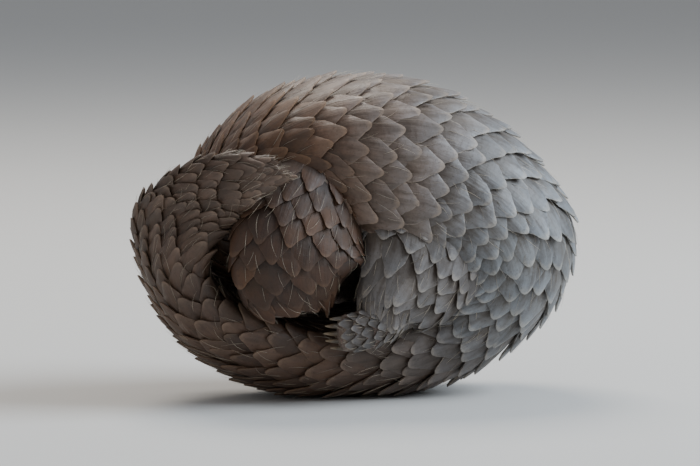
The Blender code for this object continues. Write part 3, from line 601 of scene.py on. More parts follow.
def noise(tree, place, scale, detail=3.0, rough=0.55):
    sockets = {"Vector": place, "Scale": scale, "Detail": detail, "Roughness": rough}
    return add(tree, "TexNoise", sockets).outputs["Fac"]


def parts_of(tree, key):
    """The three numbers of a vector kept on the piece's points."""
    kept = add(tree, "Attribute", {}, attribute_name=key).outputs["Vector"]
    return kept, *add(tree, "SeparateXYZ", {0: kept}).outputs


def place_on(tree):
    return add(tree, "TexCoord", {}).outputs["Object"]


def effect(name, inputs, outputs):
    """An empty node group with named sockets: its tree, its inputs and the node that its outputs go to."""
    tree = bpy.data.node_groups.new(name, "ShaderNodeTree")
    for key, kind, value in inputs:
        socket = tree.interface.new_socket(key, in_out="INPUT", socket_type="NodeSocket" + kind)
        if value is not None:
            socket.default_value = value
    for key in outputs:
        tree.interface.new_socket(key, in_out="OUTPUT", socket_type="NodeSocketFloat")
    return tree, tree.nodes.new("NodeGroupInput").outputs, tree.nodes.new("NodeGroupOutput")


def finish_of(name):
    """A new material: itself, its nodes and its Principled shader."""
    finish = bpy.data.materials.new(name)
    finish.use_nodes = True
    return finish, finish.node_tree, finish.node_tree.nodes["Principled BSDF"]


def bumped(tree, height, depth, under=None):
    """The normal of a surface that rises so many metres where the height is 1."""
    sockets = {"Height": height, "Distance": depth, "Strength": 1.0}
    if under is not None:
        sockets["Normal"] = under
    return add(tree, "Bump", sockets).outputs["Normal"]


# Grime: brown dust and dried soil from digging, which lie in soft patches and in finer specks. They are
# on the skin, the horn and the hair alike, in patches of a size that each of them sets.
SPECKS_TO_A_PATCH = 14.0
PATCH_EDGE, SPECK_EDGE = (0.42, 0.68), (0.58, 0.72)
GRIME, grime_in, grime_out = effect(
    "grime", (("Place", "Vector", None), ("Patch Size", "Float", 0.02)), ("Patches", "Specks")
)
patch_scale = sums(GRIME, "DIVIDE", 1.0, grime_in["Patch Size"])
speck_scale = times(GRIME, patch_scale, SPECKS_TO_A_PATCH)
patches = between(GRIME, noise(GRIME, grime_in["Place"], patch_scale, 4), *PATCH_EDGE)
specks = between(GRIME, noise(GRIME, grime_in["Place"], speck_scale, 2), *SPECK_EDGE)
fill(GRIME, grime_out, {"Patches": patches, "Specks": specks})

# The skin's finish: grey-pink, mottled darker and finely creased, pinker round the nose, the eyes and the
# ears, with pores, patches of dust and a wet shine on the nose pad.
SKIN_GREY = (0.235, 0.180, 0.155, 1)
SKIN_PINK = (0.400, 0.240, 0.200, 1)
SKIN_SHADE = (0.105, 0.072, 0.058, 1)
SKIN_DUST = (0.300, 0.245, 0.190, 1)
SKIN_PORE = (0.62, 0.56, 0.52, 1)
PORE_SIZE, PORE_DEPTH = 1.0 * MM, 0.12 * MM
CREASE_SIZE, CREASE_DEPTH = 2.4 * MM, 0.9 * MM
MOTTLE_SIZE, SKIN_PATCH = 11 * MM, 16 * MM
SKIN_GLOW, SKIN_GLOW_DEPTH = 0.06, 2 * MM
MOTTLE_EDGE, PORE_RIM, PORE_PIT = (0.3, 0.75), (0.75, 0.2), (0.0, 0.6)
PINK_SHARE, SKIN_DUST_SHARE = 0.8, 0.45
# Roughness: its growth with the mottling, its value without any, and its fall where the skin is wet.
SKIN_ROUGH, SKIN_WET = (0.25, 0.48), -0.25
# How far the pink reaches round the nose, the eyes and the ears.
TINTS = (
    (9 * MM, [body_middle(np.array(0.0))]),
    (7 * MM, [spot(BODY, EYE_AT, side)[0] for side in (LEFT, RIGHT)]),
    (11 * MM, [spot(BODY, EAR_AT, side)[0] for side in (LEFT, RIGHT)]),
)

skin_points = points_of(skin)
masks = []
for reach, centres in TINTS:
    masks += [bump(np.linalg.norm(skin_points - centre, axis=1), reach) for centre in centres]
tint = np.stack([np.max(masks, 0), masks[0], np.zeros(len(skin_points))], -1)
keep_notes(skin.data, {"tint": tint})

skin_finish, tree, shader = finish_of("bare_skin")
place = place_on(tree)
_, pink, wet, _ = parts_of(tree, "tint")
grime = use(tree, GRIME, {"Place": place, "Patch Size": SKIN_PATCH})
mottle = noise(tree, place, 1 / MOTTLE_SIZE, 4, 0.6)
pores = add(tree, "TexVoronoi", {"Vector": place, "Scale": 1 / PORE_SIZE}, feature="F1").outputs["Distance"]
colour = mixed(tree, between(tree, mottle, *MOTTLE_EDGE), SKIN_SHADE, SKIN_GREY)
colour = layered(tree, colour, (
    (times(tree, pink, PINK_SHARE), SKIN_PINK),
    (times(tree, grime["Patches"], SKIN_DUST_SHARE), SKIN_DUST),
))
colour = mixed(tree, between(tree, pores, *PORE_RIM), colour, SKIN_PORE, "MULTIPLY")
relief = bumped(tree, noise(tree, place, 1 / CREASE_SIZE, 6, 0.7), CREASE_DEPTH)
relief = bumped(tree, between(tree, pores, *PORE_PIT), PORE_DEPTH, relief)
roughness = times(tree, wet, SKIN_WET, times(tree, mottle, *SKIN_ROUGH))
glow = {"Subsurface Weight": SKIN_GLOW, "Subsurface Scale": SKIN_GLOW_DEPTH}
fill(tree, shader, {"Base Color": colour, "Roughness": roughness, "Normal": relief, **glow})
skin.data.materials.clear()
skin.data.materials.append(skin_finish)

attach(skin, "root")
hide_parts(*[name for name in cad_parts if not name.startswith("eye")])

# The scales: flat plates of horn, as of fingernail, rooted in the skin with their tips towards the tail,
# in staggered rows so that each lies over the next two. One scale is modelled, then laid on the skin at
# every place in the rows, each with its own size, turn and rise, and bent to the body as it grows.
SCALE_ACROSS, SCALE_ALONG = 6, 5
SCALE_OUTLINE = ((0.0, 0.60), (0.25, 0.86), (0.50, 1.00), (0.70, 0.95), (0.86, 0.76), (1.0, 0.40))
SCALE_TIP_CURVE = 0.14
SCALE_EDGE = 0.04
# Rows: first and last station, the length from one row to the next, scales in a full row, the share of
# half the girth that they cover, length and width as shares of that pitch and of the room across, the
# rise of the tip and the piece that they belong to. Lengths in millimetres.
TRUNK_SCALES = (
    ("muzzle", "brow", 6.5, 6, 0.42, 2.5, 1.15, 1.5, "head"),
    ("brow", "occiput", 8.0, 8, 0.52, 2.7, 1.12, 2.2, "head"),
    ("occiput", "withers", 10.0, 9, 0.60, 2.9, 1.10, 3.4, "neck"),
    ("withers", "back", 11.5, 11, 0.68, 3.0, 1.08, 4.8, "shoulders"),
    ("back", "hip", 12.5, 13, 0.74, 3.1, 1.06, 6.0, "loin"),
    ("hip", "croup", 12.5, 13, 0.74, 3.1, 1.06, 6.2, "rump"),
    ("croup", "tail_base", 12.0, 11, 0.72, 3.1, 1.08, 5.8, "tail_root"),
    ("tail_base", "tail_rise", 12.0, 9, 0.68, 3.1, 1.10, 5.0, "tail_middle"),
    ("tail_rise", "tail_end", 11.5, 8, 0.66, 3.0, 1.12, 4.6, "tail_end"),
    ("tail_end", "tail_tip", 9.0, 6, 0.66, 2.8, 1.14, 3.4, "tail_tip"),
)
UNDER_SCALES = (
    ("tail_root", "tail_base", 12.0, 5, 0.30, 2.8, 1.10, 3.0, "tail_root"),
    ("tail_base", "tail_rise", 12.0, 5, 0.34, 2.8, 1.10, 3.0, "tail_middle"),
    ("tail_rise", "tail_end", 11.5, 4, 0.36, 2.8, 1.12, 3.0, "tail_end"),
    ("tail_end", "tail_tip", 9.5, 3, 0.36, 2.6, 1.14, 2.4, "tail_tip"),
)
LEG_SCALES = {
    "foreleg": (0.62, 4.2, 9.0, 6, 0.66, 3.0, 1.10, 2.8),
    "hindleg": (0.60, 4.3, 10.0, 7, 0.62, 3.0, 1.10, 3.6),
}
PAW_SCALES = {
    "foreleg": (0.2, 2.3, 5.5, 4, 0.42, 2.4, 1.12, 1.5),
    "hindleg": (0.2, 2.3, 5.5, 4, 0.46, 2.4, 1.12, 1.5),
}
# How worn and grey, and how warm a brown, the scales are: station along the body, wear, warmth. The wear
# also carries painted light: it is set high on the lit back, hips and rump to paint them lighter and bluer,
# and low on the head, the neck and the tail to paint them darker, as if in shade.
TRUNK_TONE = (
    ("nose_end", 0.30, 0.55),
    ("nape", 0.28, 0.90),
    ("withers", 0.40, 0.90),
    ("shoulder", 0.82, 0.58),
    ("back", 0.92, 0.36),
    ("loin", 0.94, 0.14),
    ("hip", 0.96, 0.04),
    ("rump", 0.92, 0.04),
    ("croup", 0.75, 0.10),
    ("tail_root", 0.50, 0.35),
    ("tail_sole", 0.24, 0.75),
    ("tail_side", 0.32, 0.64),
    ("tail_end", 0.32, 0.60),
    ("tail_tip", 0.34, 0.62),
)
# Each leg's wear and warmth. The wear is also painted light: none on the forelegs, which are painted dark as
# if in shade, and more on the hindlegs on the lit side.
LEG_TONE = {"foreleg": (0.00, 0.88), "hindleg": (0.56, 0.20)}
# How much the wear falls from the back down to the belly: a painted shade that darkens the scales lower on
# the flanks.
FLANK_SHADE = 0.30
TIP_ROOM, TIP_OVER = 7.0 * MM, 3.0 * MM
ROOT_SINK, EDGE_THICK, FULL_RISE = 1.6 * MM, 0.9 * MM, 4 * MM
KEEL_WIDTH, KEEL_RISE, KEEL_GROWTH = 0.3, 0.10, 3
ARCH_RISE, ARCH_GROWTH, RISE_POWER = 0.16, 4, 0.85
SIZE_SPREAD, TURN_SPREAD, RISE_SPREAD = 0.08, math.radians(5), 0.16
PRESS_HEIGHT = 3.0 * MM
SHARP = math.radians(48)
SEED = 7
draw = np.random.default_rng(SEED)

bpy.ops.mesh.primitive_grid_add(x_subdivisions=SCALE_ACROSS, y_subdivisions=SCALE_ALONG, size=2)
model = bpy.context.object
bpy.ops.object.mode_set(mode="EDIT")
bpy.ops.mesh.select_all(action="SELECT")
bpy.ops.mesh.region_to_loop()
bpy.ops.mesh.extrude_edges_move(TRANSFORM_OT_translate={"value": (0, 0, -1)})
bpy.ops.mesh.edge_face_add()
bpy.ops.mesh.select_all(action="SELECT")
bpy.ops.mesh.normals_make_consistent(inside=False)
bpy.ops.object.mode_set(mode="OBJECT")
SCALE_POINTS = points_of(model)
SCALE_FACES = [tuple(face.vertices) for face in model.data.polygons]
bpy.data.objects.remove(model)

SCALE_SIDE, SCALE_DOWN = SCALE_POINTS[:, 0], (SCALE_POINTS[:, 1] + 1) / 2
SCALE_BELOW = SCALE_POINTS[:, 2] < -0.5
SCALE_HALF = np.interp(SCALE_DOWN, *zip(*SCALE_OUTLINE))
# Where the faces of one scale lie in its own patch of the map: the upper face in the middle, the rim as
# a frame round it, and the underside small in a corner.
PATCH_FACE, PATCH_RIM, PATCH_UNDER, PATCH_CORNER = 0.84, 0.95, 0.09, 0.06


def scale_patch():
    flat = np.stack([SCALE_SIDE * SCALE_HALF / 2, SCALE_DOWN - 0.5], -1)
    corners = []
    for face in SCALE_FACES:
        if all(SCALE_BELOW[v] for v in face):
            corners += [PATCH_CORNER + PATCH_UNDER * flat[v] for v in face]
        else:
            corners += [0.5 + (PATCH_RIM if SCALE_BELOW[v] else PATCH_FACE) * flat[v] for v in face]
    return np.array(corners)


def rows_on(form, first, last, pitch, count, cover, long_share, wide_share, rise, row=0):
    """Places of staggered rows, and the number of rows.

    Each place is t, turn, length, width, rise, and then its cell on the unrolled skin: the cell's corner
    across and along, and its breadth and length, as shares of the whole stretch of rows.
    """
    start, end = form.length_at(first), form.length_at(last)
    rows = max(1, round((end - start) / (pitch * MM)))
    found = []
    for k in range(rows):
        t = form.t_at(start + (end - start) * k / rows)
        left = form.length_at(form.last) - form.length_at(t)
        if left < TIP_ROOM:
            continue
        room = 2 * form.half_girth(t) * cover / count
        in_row = count - (row + k) % 2
        for n in range(in_row):
            turn = form.turn_at(t, (n - (in_row - 1) / 2) * room)
            length = min(pitch * MM * long_share, left + TIP_OVER)
            cell = ((n + (count - in_row) / 2) / count, k / rows, 1 / count, 1 / rows)
            found.append((t, turn, length, room * wide_share, rise * MM, *cell))
    return np.array(found), rows


def pressed(points):
    """The points with the lowest ones pressed flat by the floor under the animal's weight."""
    low = PRESS_HEIGHT * np.exp(np.minimum(points[..., 2] / PRESS_HEIGHT - 1, 0))
    points[..., 2] = np.where(points[..., 2] < PRESS_HEIGHT, low, points[..., 2])
    return points


def lay_scales(form, places, tones):
    """Points (scale, point, xyz) of the modelled scale laid at each place, with the notes for its finish."""
    t, turn, length, width, rise = places.T[:5]
    count = len(places)
    size = 1 + draw.uniform(-SIZE_SPREAD, SIZE_SPREAD, count)
    heading = draw.uniform(-TURN_SPREAD, TURN_SPREAD, count)
    lifted = rise * (1 + draw.uniform(-RISE_SPREAD, RISE_SPREAD, count))
    across = SCALE_SIDE
    half = SCALE_HALF * (1 - SCALE_EDGE * SCALE_BELOW)
    down = SCALE_DOWN * (1 - SCALE_TIP_CURVE * across ** 2)
    keel = bump(across, KEEL_WIDTH) * np.clip(SCALE_DOWN * KEEL_GROWTH, 0, 1) * KEEL_RISE
    arch = (1 - across ** 2) * ARCH_RISE * np.clip(SCALE_DOWN * ARCH_GROWTH, 0, 1)
    ahead = down * (length * size)[:, None]
    beside = (across * half) * (width * size / 2)[:, None]
    c, s = np.cos(heading)[:, None], np.sin(heading)[:, None]
    there, there_turn = form.near(t, turn, ahead * c - beside * s, ahead * s + beside * c)
    here, normal, _ = form.frame(there, there_turn)
    lifted = lifted[:, None]
    lift = -ROOT_SINK + (lifted + ROOT_SINK) * down ** RISE_POWER + lifted * (keel + arch)
    thick = EDGE_THICK * np.minimum(1, lifted / FULL_RISE)
    points = here + normal * (lift - SKIN_INSET - SCALE_BELOW * thick)[..., None]
    own = np.broadcast_to(draw.random(count)[:, None], ahead.shape)
    wear_and_light, warmth = (np.broadcast_to(tone[:, None], ahead.shape) for tone in tones)
    notes = {
        "lie": np.stack([beside, ahead, own], -1),
        "share": np.stack(np.broadcast_arrays(across[None], SCALE_DOWN[None], own), -1),
        "tone": np.stack([wear_and_light, warmth, np.broadcast_to(draw.random(count)[:, None], ahead.shape)], -1),
    }
    return pressed(points), notes


def laid_piece(name, faces, corners, laid, cells, finish):
    """One mesh from the laid copies of a model, with its notes and its patches of the map."""
    points = np.concatenate([part[0] for part in laid])
    count, size = points.shape[:2]
    mesh = bpy.data.meshes.new(name)
    indices = [tuple(v + size * n for v in face) for n in range(count) for face in faces]
    mesh.from_pydata(points.reshape(-1, 3).tolist(), [], indices)
    keep_notes(mesh, {key: np.concatenate([part[1][key] for part in laid]) for key in laid[0][1]})
    patches = cells[:, None, :2] + corners[None] * cells[:, None, 2:]
    mesh.uv_layers.new(name="OFBake").data.foreach_set("uv", patches.ravel())
    obj = bpy.data.objects.new(name, mesh)
    bpy.context.scene.collection.objects.link(obj)
    mesh.materials.append(finish)
    mesh.shade_smooth()
    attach(obj, "root")
    return obj


# Growth: fine ridges that run from a horn's root to its tip, and faint rings across them where it grew
# in steps. Lie gives the place on the horn as metres beside and ahead of its root, and its own number.
RIDGES_LONG, STREAKS_BROAD, RIDGE_SHARE = 16.0, 0.35, 0.75
STREAK_EDGE, HORNS_APART = (0.30, 0.70), 90.0
GROWTH, growth_in, growth_out = effect(
    "horn_growth",
    (("Lie", "Vector", None), ("Ridge Width", "Float", 0.0013), ("Ring Width", "Float", 0.0042)),
    ("Relief", "Streaks"),
)
beside, ahead, own = add(GROWTH, "SeparateXYZ", {0: growth_in["Lie"]}).outputs
own = times(GROWTH, own, HORNS_APART)
over_ridges = sums(GROWTH, "DIVIDE", beside, growth_in["Ridge Width"])
along = sums(GROWTH, "DIVIDE", ahead, times(GROWTH, growth_in["Ridge Width"], RIDGES_LONG))
place = add(GROWTH, "CombineXYZ", {0: over_ridges, 1: along, 2: own}).outputs[0]
ridges = noise(GROWTH, place, 1.0, 2)
over_streaks = times(GROWTH, over_ridges, STREAKS_BROAD)
place = add(GROWTH, "CombineXYZ", {0: over_streaks, 1: along, 2: own}).outputs[0]
streaks = noise(GROWTH, place, 1.0, 3)
steps = sums(GROWTH, "ADD", sums(GROWTH, "DIVIDE", ahead, growth_in["Ring Width"]), streaks)
rings = times(GROWTH, sums(GROWTH, "FRACT", steps), 1 - RIDGE_SHARE)
relief = times(GROWTH, ridges, RIDGE_SHARE, rings)
fill(GROWTH, growth_out, {"Relief": relief, "Streaks": between(GROWTH, streaks, *STREAK_EDGE)})

# Worn edge: where the rim and the tip of a horn are rubbed thin and pale, and how far its root is still
# dark and unworn. Share gives the place on the horn as shares across and down, and its own number.
RAGGED_SCALE, RAGGED, RAGGED_END = 420.0, 0.34, 0.5
SIDE_END, TIP_END = 1.05, 1.02
SIDE_EDGE, TIP_EDGE, ROOT_EDGE = (0.35, 0.65), (0.50, 0.95), (0.66, 0.40)
WORN, worn_in, worn_out = effect(
    "worn_edge",
    (("Share", "Vector", None), ("Place", "Vector", None), ("Rim", "Float", 0.14)),
    ("Edge", "Tip", "Root"),
)
across, down, own = add(WORN, "SeparateXYZ", {0: worn_in["Share"]}).outputs
ragged = times(WORN, sums(WORN, "SUBTRACT", noise(WORN, worn_in["Place"], RAGGED_SCALE, 3), 0.5), RAGGED)
rim_start = sums(WORN, "SUBTRACT", 1.0, worn_in["Rim"])
side_rim = between(WORN, sums(WORN, "ADD", sums(WORN, "ABSOLUTE", across), ragged), rim_start, SIDE_END)
side_rim = times(WORN, side_rim, between(WORN, down, *SIDE_EDGE))
end_rim = between(WORN, times(WORN, ragged, RAGGED_END, down), rim_start, TIP_END)
ragged_down = sums(WORN, "ADD", down, ragged)
fill(WORN, worn_out, {
    "Edge": sums(WORN, "MAXIMUM", side_rim, end_rim),
    "Tip": between(WORN, ragged_down, *TIP_EDGE),
    "Root": between(WORN, ragged_down, *ROOT_EDGE),
})

# The scales' finish: dark horn, streaked with growth, worn grey on the back and stained a warm brown where
# the body is folded, with pale rubbed rims, soil at the roots and dust. Painted light is in it too: a blue
# sheen of sky light on the worn tips, the lit back, hips and rump painted lighter, and the shaded tail,
# lower flanks and forelegs painted darker.
HORN_DARK = (0.048, 0.038, 0.029, 1)
# The mid and the worn horn lean blue: a painted sheen of sky light.
HORN_MID = (0.125, 0.131, 0.135, 1)
HORN_WORN_SHEEN = (0.230, 0.259, 0.292, 1)
HORN_WARM = (0.190, 0.096, 0.040, 1)
HORN_RIM = (0.345, 0.330, 0.295, 1)
HORN_SOIL = (0.040, 0.028, 0.018, 1)
HORN_DUST = (0.225, 0.216, 0.198, 1)
HORN_STAIN = (1.00, 0.54, 0.27, 1)
HORN_RIDGE, HORN_RING, HORN_RELIEF = 1.3 * MM, 4.2 * MM, 0.34 * MM
HORN_RIM_SHARE, HORN_PATCH = 0.13, 22 * MM
DENT_SIZE, DENT_DEPTH = 5 * MM, 0.30 * MM
# How a share follows another: what it grows by where the other is 1, and what it is where that is 0.
LIGHTER_BY_WEAR_AND_LIGHT, WARM_BY_LIGHT, SHEEN_AND_RUBBED_BY_STREAKS = (0.65, 0.35), (0.55, 0.15), (0.45, 0.42)
RIM_BY_WEAR, SOIL_BY_WEAR = (0.50, 0.30), (-0.30, 0.80)
SHADE_BY_OWN, PAINTED_SHADE_BY_WEAR_AND_LIGHT = 0.34, (0.48, 0.40)
ROUGH_BY_WEAR, ROUGH_BY_STREAKS, ROUGH_BY_DUST, ROUGH_BY_RIM = (-0.14, 0.54), 0.10, 0.14, -0.06
HORN_DUST_SHARE, HORN_SPECK_SHARE = 0.22, 0.35

scale_horn, tree, shader = finish_of("scale_horn")
place = place_on(tree)
lie = parts_of(tree, "lie")[0]
share, _, down, _ = parts_of(tree, "share")
_, wear_and_light, warmth, own = parts_of(tree, "tone")
growth = use(tree, GROWTH, {"Lie": lie, "Ridge Width": HORN_RIDGE, "Ring Width": HORN_RING})
worn = use(tree, WORN, {"Share": share, "Place": place, "Rim": HORN_RIM_SHARE})
grime = use(tree, GRIME, {"Place": place, "Patch Size": HORN_PATCH})
streaks, patches = growth["Streaks"], grime["Patches"]
# The horn is lighter where it is worn, and painted lighter where the body is lit.
lighter = times(tree, streaks, times(tree, wear_and_light, *LIGHTER_BY_WEAR_AND_LIGHT))
# Where the worn tips show: grey from wear and tinted blue as a painted sheen, most where the back is lit.
rubbed_and_sheen = times(tree, wear_and_light, times(tree, streaks, *SHEEN_AND_RUBBED_BY_STREAKS))
colour = layered(tree, mixed(tree, lighter, HORN_DARK, HORN_MID), (
    (times(tree, warmth, times(tree, lighter, *WARM_BY_LIGHT)), HORN_WARM),
    (times(tree, rubbed_and_sheen, worn["Tip"]), HORN_WORN_SHEEN),
    (times(tree, worn["Edge"], times(tree, wear_and_light, *RIM_BY_WEAR)), HORN_RIM),
    (times(tree, worn["Root"], times(tree, wear_and_light, *SOIL_BY_WEAR)), HORN_SOIL),
    (times(tree, patches, HORN_DUST_SHARE), HORN_DUST),
    (times(tree, grime["Specks"], HORN_SPECK_SHARE), HORN_SOIL),
))
colour = mixed(tree, warmth, colour, HORN_STAIN, "MULTIPLY")
# Painted shade: each scale's own random tone, darkened where the wear is low, on the shaded head, tail,
# lower flanks and forelegs.
shade = times(tree, own, SHADE_BY_OWN, times(tree, wear_and_light, *PAINTED_SHADE_BY_WEAR_AND_LIGHT))
colour = mixed(tree, 1.0, colour, shade, "MULTIPLY")
roughness = times(tree, streaks, ROUGH_BY_STREAKS, times(tree, wear_and_light, *ROUGH_BY_WEAR))
roughness = times(tree, patches, ROUGH_BY_DUST, roughness)
roughness = times(tree, worn["Edge"], ROUGH_BY_RIM, roughness)
relief = bumped(tree, growth["Relief"], HORN_RELIEF)
relief = bumped(tree, noise(tree, place, 1 / DENT_SIZE, 3), DENT_DEPTH, relief)
fill(tree, shader, {"Base Color": colour, "Roughness": roughness, "Normal": relief})

# The coat: the rows laid on the back and the flanks, under the tail, and on the outside of the legs and
# the paws. Each piece is one stretch of the body or one limb, its scales rooted in the skin below.
UNDER = Form(lambda t, turn: body_point(t, turn + math.pi), body_middle, len(STATIONS) - 1)
TONE_AT = [NAMES.index(name) for name, _, _ in TRUNK_TONE]
coat = {}
for form, table in ((BODY, TRUNK_SCALES), (UNDER, UNDER_SCALES)):
    row = 0
    for first, last, *sizes, piece in table:
        places, rows = rows_on(form, NAMES.index(first), NAMES.index(last), *sizes, row=row)
        row += rows
        wear_and_light, warmth = (np.interp(places[:, 0], TONE_AT, [tone[k] for tone in TRUNK_TONE]) for k in (1, 2))
        # Painted shade: the wear falls towards the belly, so scales lower on the flanks are darker.
        to_side = np.abs(places[:, 1]) / math.pi if form is BODY else np.ones(len(places))
        wear_and_light = wear_and_light * (1 - FLANK_SHADE * to_side)
        coat.setdefault("scales_" + piece, []).append((form, places, (wear_and_light, warmth), sizes[1]))
for name, (kind, side, leg, paw, claws) in LIMBS.items():
    for form, table in ((leg, LEG_SCALES), (paw, PAW_SCALES)):
        places, _ = rows_on(form, *table[kind])
        tones = [np.full(len(places), tone) for tone in LEG_TONE[kind]]
        coat.setdefault("scales_" + name, []).append((form, places, tones, table[kind][3]))
for name, batches in coat.items():
    laid = [lay_scales(form, places, tones) for form, places, tones, _ in batches]
    # Each stretch of rows has its own strip of the map, as broad as it has scales in a row.
    whole, passed, cells = sum(batch[3] for batch in batches), 0, []
    for _, places, _, count in batches:
        cell = places[:, 5:].copy()
        cell[:, 0], cell[:, 2] = (passed + cell[:, 0] * count) / whole, cell[:, 2] * count / whole
        passed += count
        cells.append(cell)
    piece = laid_piece(name, SCALE_FACES, scale_patch(), laid, np.concatenate(cells), scale_horn)
    piece.data.set_sharp_from_angle(angle=SHARP)

# The bristles: a few stiff pale hairs that stand out from under the tip of each scale and lie along the
# seam beside it. One tapered hair is modelled in short joints, then laid on the skin as the scales are.
HAIR_JOINTS = (0.25, 0.5, 0.72, 0.88)
HAIR_TIP, HAIR_CURL, HAIR_RISE_POWER = 0.15, 0.35, 0.8
PATCH, MAP_MARGIN = 0.003, 0.02
BRISTLE_SHARE = 0.75
BRISTLE_RADIUS, BRISTLE_STREW = 0.17 * MM, math.radians(16)
# As shares of the scale over it: root along and beside, length, height at the root and at the tip.
BRISTLE_DOWN, BRISTLE_BESIDE, BRISTLE_LENGTH = 0.80, (0.20, 0.50), (0.32, 0.55)
BRISTLE_LOW, BRISTLE_HIGH, BRISTLE_OVER = 0.5, (0.95, 1.25), 1.2 * MM
BRISTLE_PIECES = (
    ("bristles_trunk", ("head", "neck", "shoulders", "loin", "rump")),
    ("bristles_tail", ("tail",)),
    ("bristles_legs", ("leg",)),
)

bpy.ops.mesh.primitive_cone_add(vertices=3, radius1=1, radius2=HAIR_TIP, depth=1)
model = bpy.context.object
bpy.ops.object.mode_set(mode="EDIT")
for joint in HAIR_JOINTS:
    bpy.ops.mesh.select_all(action="SELECT")
    bpy.ops.mesh.bisect(plane_co=(0, 0, joint - 0.5), plane_no=(0, 0, 1))
bpy.ops.object.mode_set(mode="OBJECT")
HAIR_POINTS = points_of(model) + (0, 0, 0.5)
HAIR_FACES = [tuple(face.vertices) for face in model.data.polygons]
HAIR_FLAT = HAIR_POINTS[:, [0, 2]] * (0.5, 1) + (0.5, 0)
HAIR_CORNERS = np.array([HAIR_FLAT[v] for face in HAIR_FACES for v in face])
bpy.data.objects.remove(model)


def lay_hairs(form, t, turn, length, radius, lift, strew):
    """Points of the modelled hair at each root; lift is its height at the root and the tip."""
    count = len(t)
    heading = draw.uniform(-strew, strew, count)
    curl = draw.uniform(-HAIR_CURL, HAIR_CURL, count) * length
    x, y, s = HAIR_POINTS.T
    ahead = s * length[:, None]
    beside = curl[:, None] * s ** 2 + x * radius
    c, d = np.cos(heading)[:, None], np.sin(heading)[:, None]
    there, there_turn = form.near(t, turn, ahead * c - beside * d, ahead * d + beside * c)
    here, normal, _ = form.frame(there, there_turn)
    high = lift[0][:, None] + (lift[1] - lift[0])[:, None] * s ** HAIR_RISE_POWER + y * radius
    own = np.broadcast_to(draw.random(count)[:, None], ahead.shape)
    share = np.stack(np.broadcast_arrays(x[None], s[None], own), -1)
    return pressed(here + normal * (high - SKIN_INSET)[..., None]), {"share": share}


def root_patches(form, t, turn, band):
    """A small square at each root's place on the unrolled skin, in the form's own band of the map."""
    along = form.length_at(t) / form.length_at(form.last)
    around = band[0] + (band[1] - band[0]) * (0.5 + (0.5 - MAP_MARGIN) * turn / math.pi)
    along = MAP_MARGIN + (1 - 2 * MAP_MARGIN) * np.clip(along, 0, 1)
    corner = np.stack([around, along], -1) - PATCH / 2
    return np.concatenate([corner, np.full_like(corner, PATCH)], -1)


def hair_piece(name, strands, forms, radius, strew):
    """One piece of hair from strands, each a form with its roots' t, turn, length and heights."""
    laid, cells = [], []
    for form, t, turn, long, lift in strands:
        k = forms.index(form)
        laid.append(lay_hairs(form, t, turn, long, radius, lift, strew))
        cells.append(root_patches(form, t, turn, (k / len(forms), (k + 1) / len(forms))))
    laid_piece(name, HAIR_FACES, HAIR_CORNERS, laid, np.concatenate(cells), hair_finish)


HAIR_ROOT = (0.110, 0.085, 0.062, 1)
HAIR_PALE = (0.520, 0.440, 0.330, 1)
HAIR_PATCH, HAIR_DUST_SHARE = 30 * MM, 0.4
HAIR_PALING, HAIR_SHADE, HAIR_ROUGH = (0.0, 0.6), (0.6, 0.6), (-0.15, 0.55)
hair_finish, tree, shader = finish_of("pale_hair")
_, _, down, own = parts_of(tree, "share")
grime = use(tree, GRIME, {"Place": place_on(tree), "Patch Size": HAIR_PATCH})
colour = mixed(tree, between(tree, down, *HAIR_PALING), HAIR_ROOT, HAIR_PALE)
colour = mixed(tree, times(tree, grime["Patches"], HAIR_DUST_SHARE), colour, HORN_DUST)
colour = mixed(tree, 1.0, colour, times(tree, own, *HAIR_SHADE), "MULTIPLY")
fill(tree, shader, {"Base Color": colour, "Roughness": times(tree, down, *HAIR_ROUGH)})

bristles = []
for name, batches in coat.items():
    for form, places, _, _ in batches:
        for side in (LEFT, RIGHT):
            chosen = places[draw.random(len(places)) < BRISTLE_SHARE]
            t, turn, length, width, rise = chosen.T[:5]
            off = side * width * draw.uniform(*BRISTLE_BESIDE, len(t))
            root = form.near(t, turn, (length * BRISTLE_DOWN)[:, None], off[:, None])
            root_t, root_turn = (value[:, 0] for value in root)
            long = length * draw.uniform(*BRISTLE_LENGTH, len(t))
            lift = (rise * BRISTLE_LOW, rise * draw.uniform(*BRISTLE_HIGH, len(t)) + BRISTLE_OVER)
            bristles.append((name, (form, root_t, root_turn, long, lift)))
for piece, words in BRISTLE_PIECES:
    strands = [strand for name, strand in bristles if any(word in name for word in words)]
    forms = list(dict.fromkeys(strand[0] for strand in strands))
    hair_piece(piece, strands, forms, BRISTLE_RADIUS, BRISTLE_STREW)

# The body hair: thin pale hair on the bare skin of the cheeks, the throat, the belly and the inner legs,
# too sparse to hide the skin. It is the same hair, finer and laid flatter.
FINE_RADIUS = 0.13 * MM
FINE_ROOT, FINE_RISE, FINE_SPREAD = -0.6 * MM, (0.15, 0.42), (0.6, 1.2)
CLEAR_OF_EYE = 8.5 * MM
# Stretches: first and last station, nearest and farthest turn in degrees, number, length in millimetres.
FORELEG_HAIR = (0.8, 4.6, 125, 178, 130, 8.0)
HINDLEG_HAIR = (0.8, 4.6, 118, 178, 150, 9.0)
# Piece, how far the hairs stray from the lie of the coat in degrees, and its stretches.
FINE_HAIR = (
    ("hair_face", 35, [(BODY, 0.9, 5.4, 66, 176, 520, 5.5)]),
    ("hair_belly", 35, [(BODY, 5.4, 16.0, 128, 178, 900, 11.0)]),
    ("hair_legs", 30, [
        (limb[2], *(FORELEG_HAIR if limb[0] == "foreleg" else HINDLEG_HAIR)) for limb in LIMBS.values()
    ]),
)


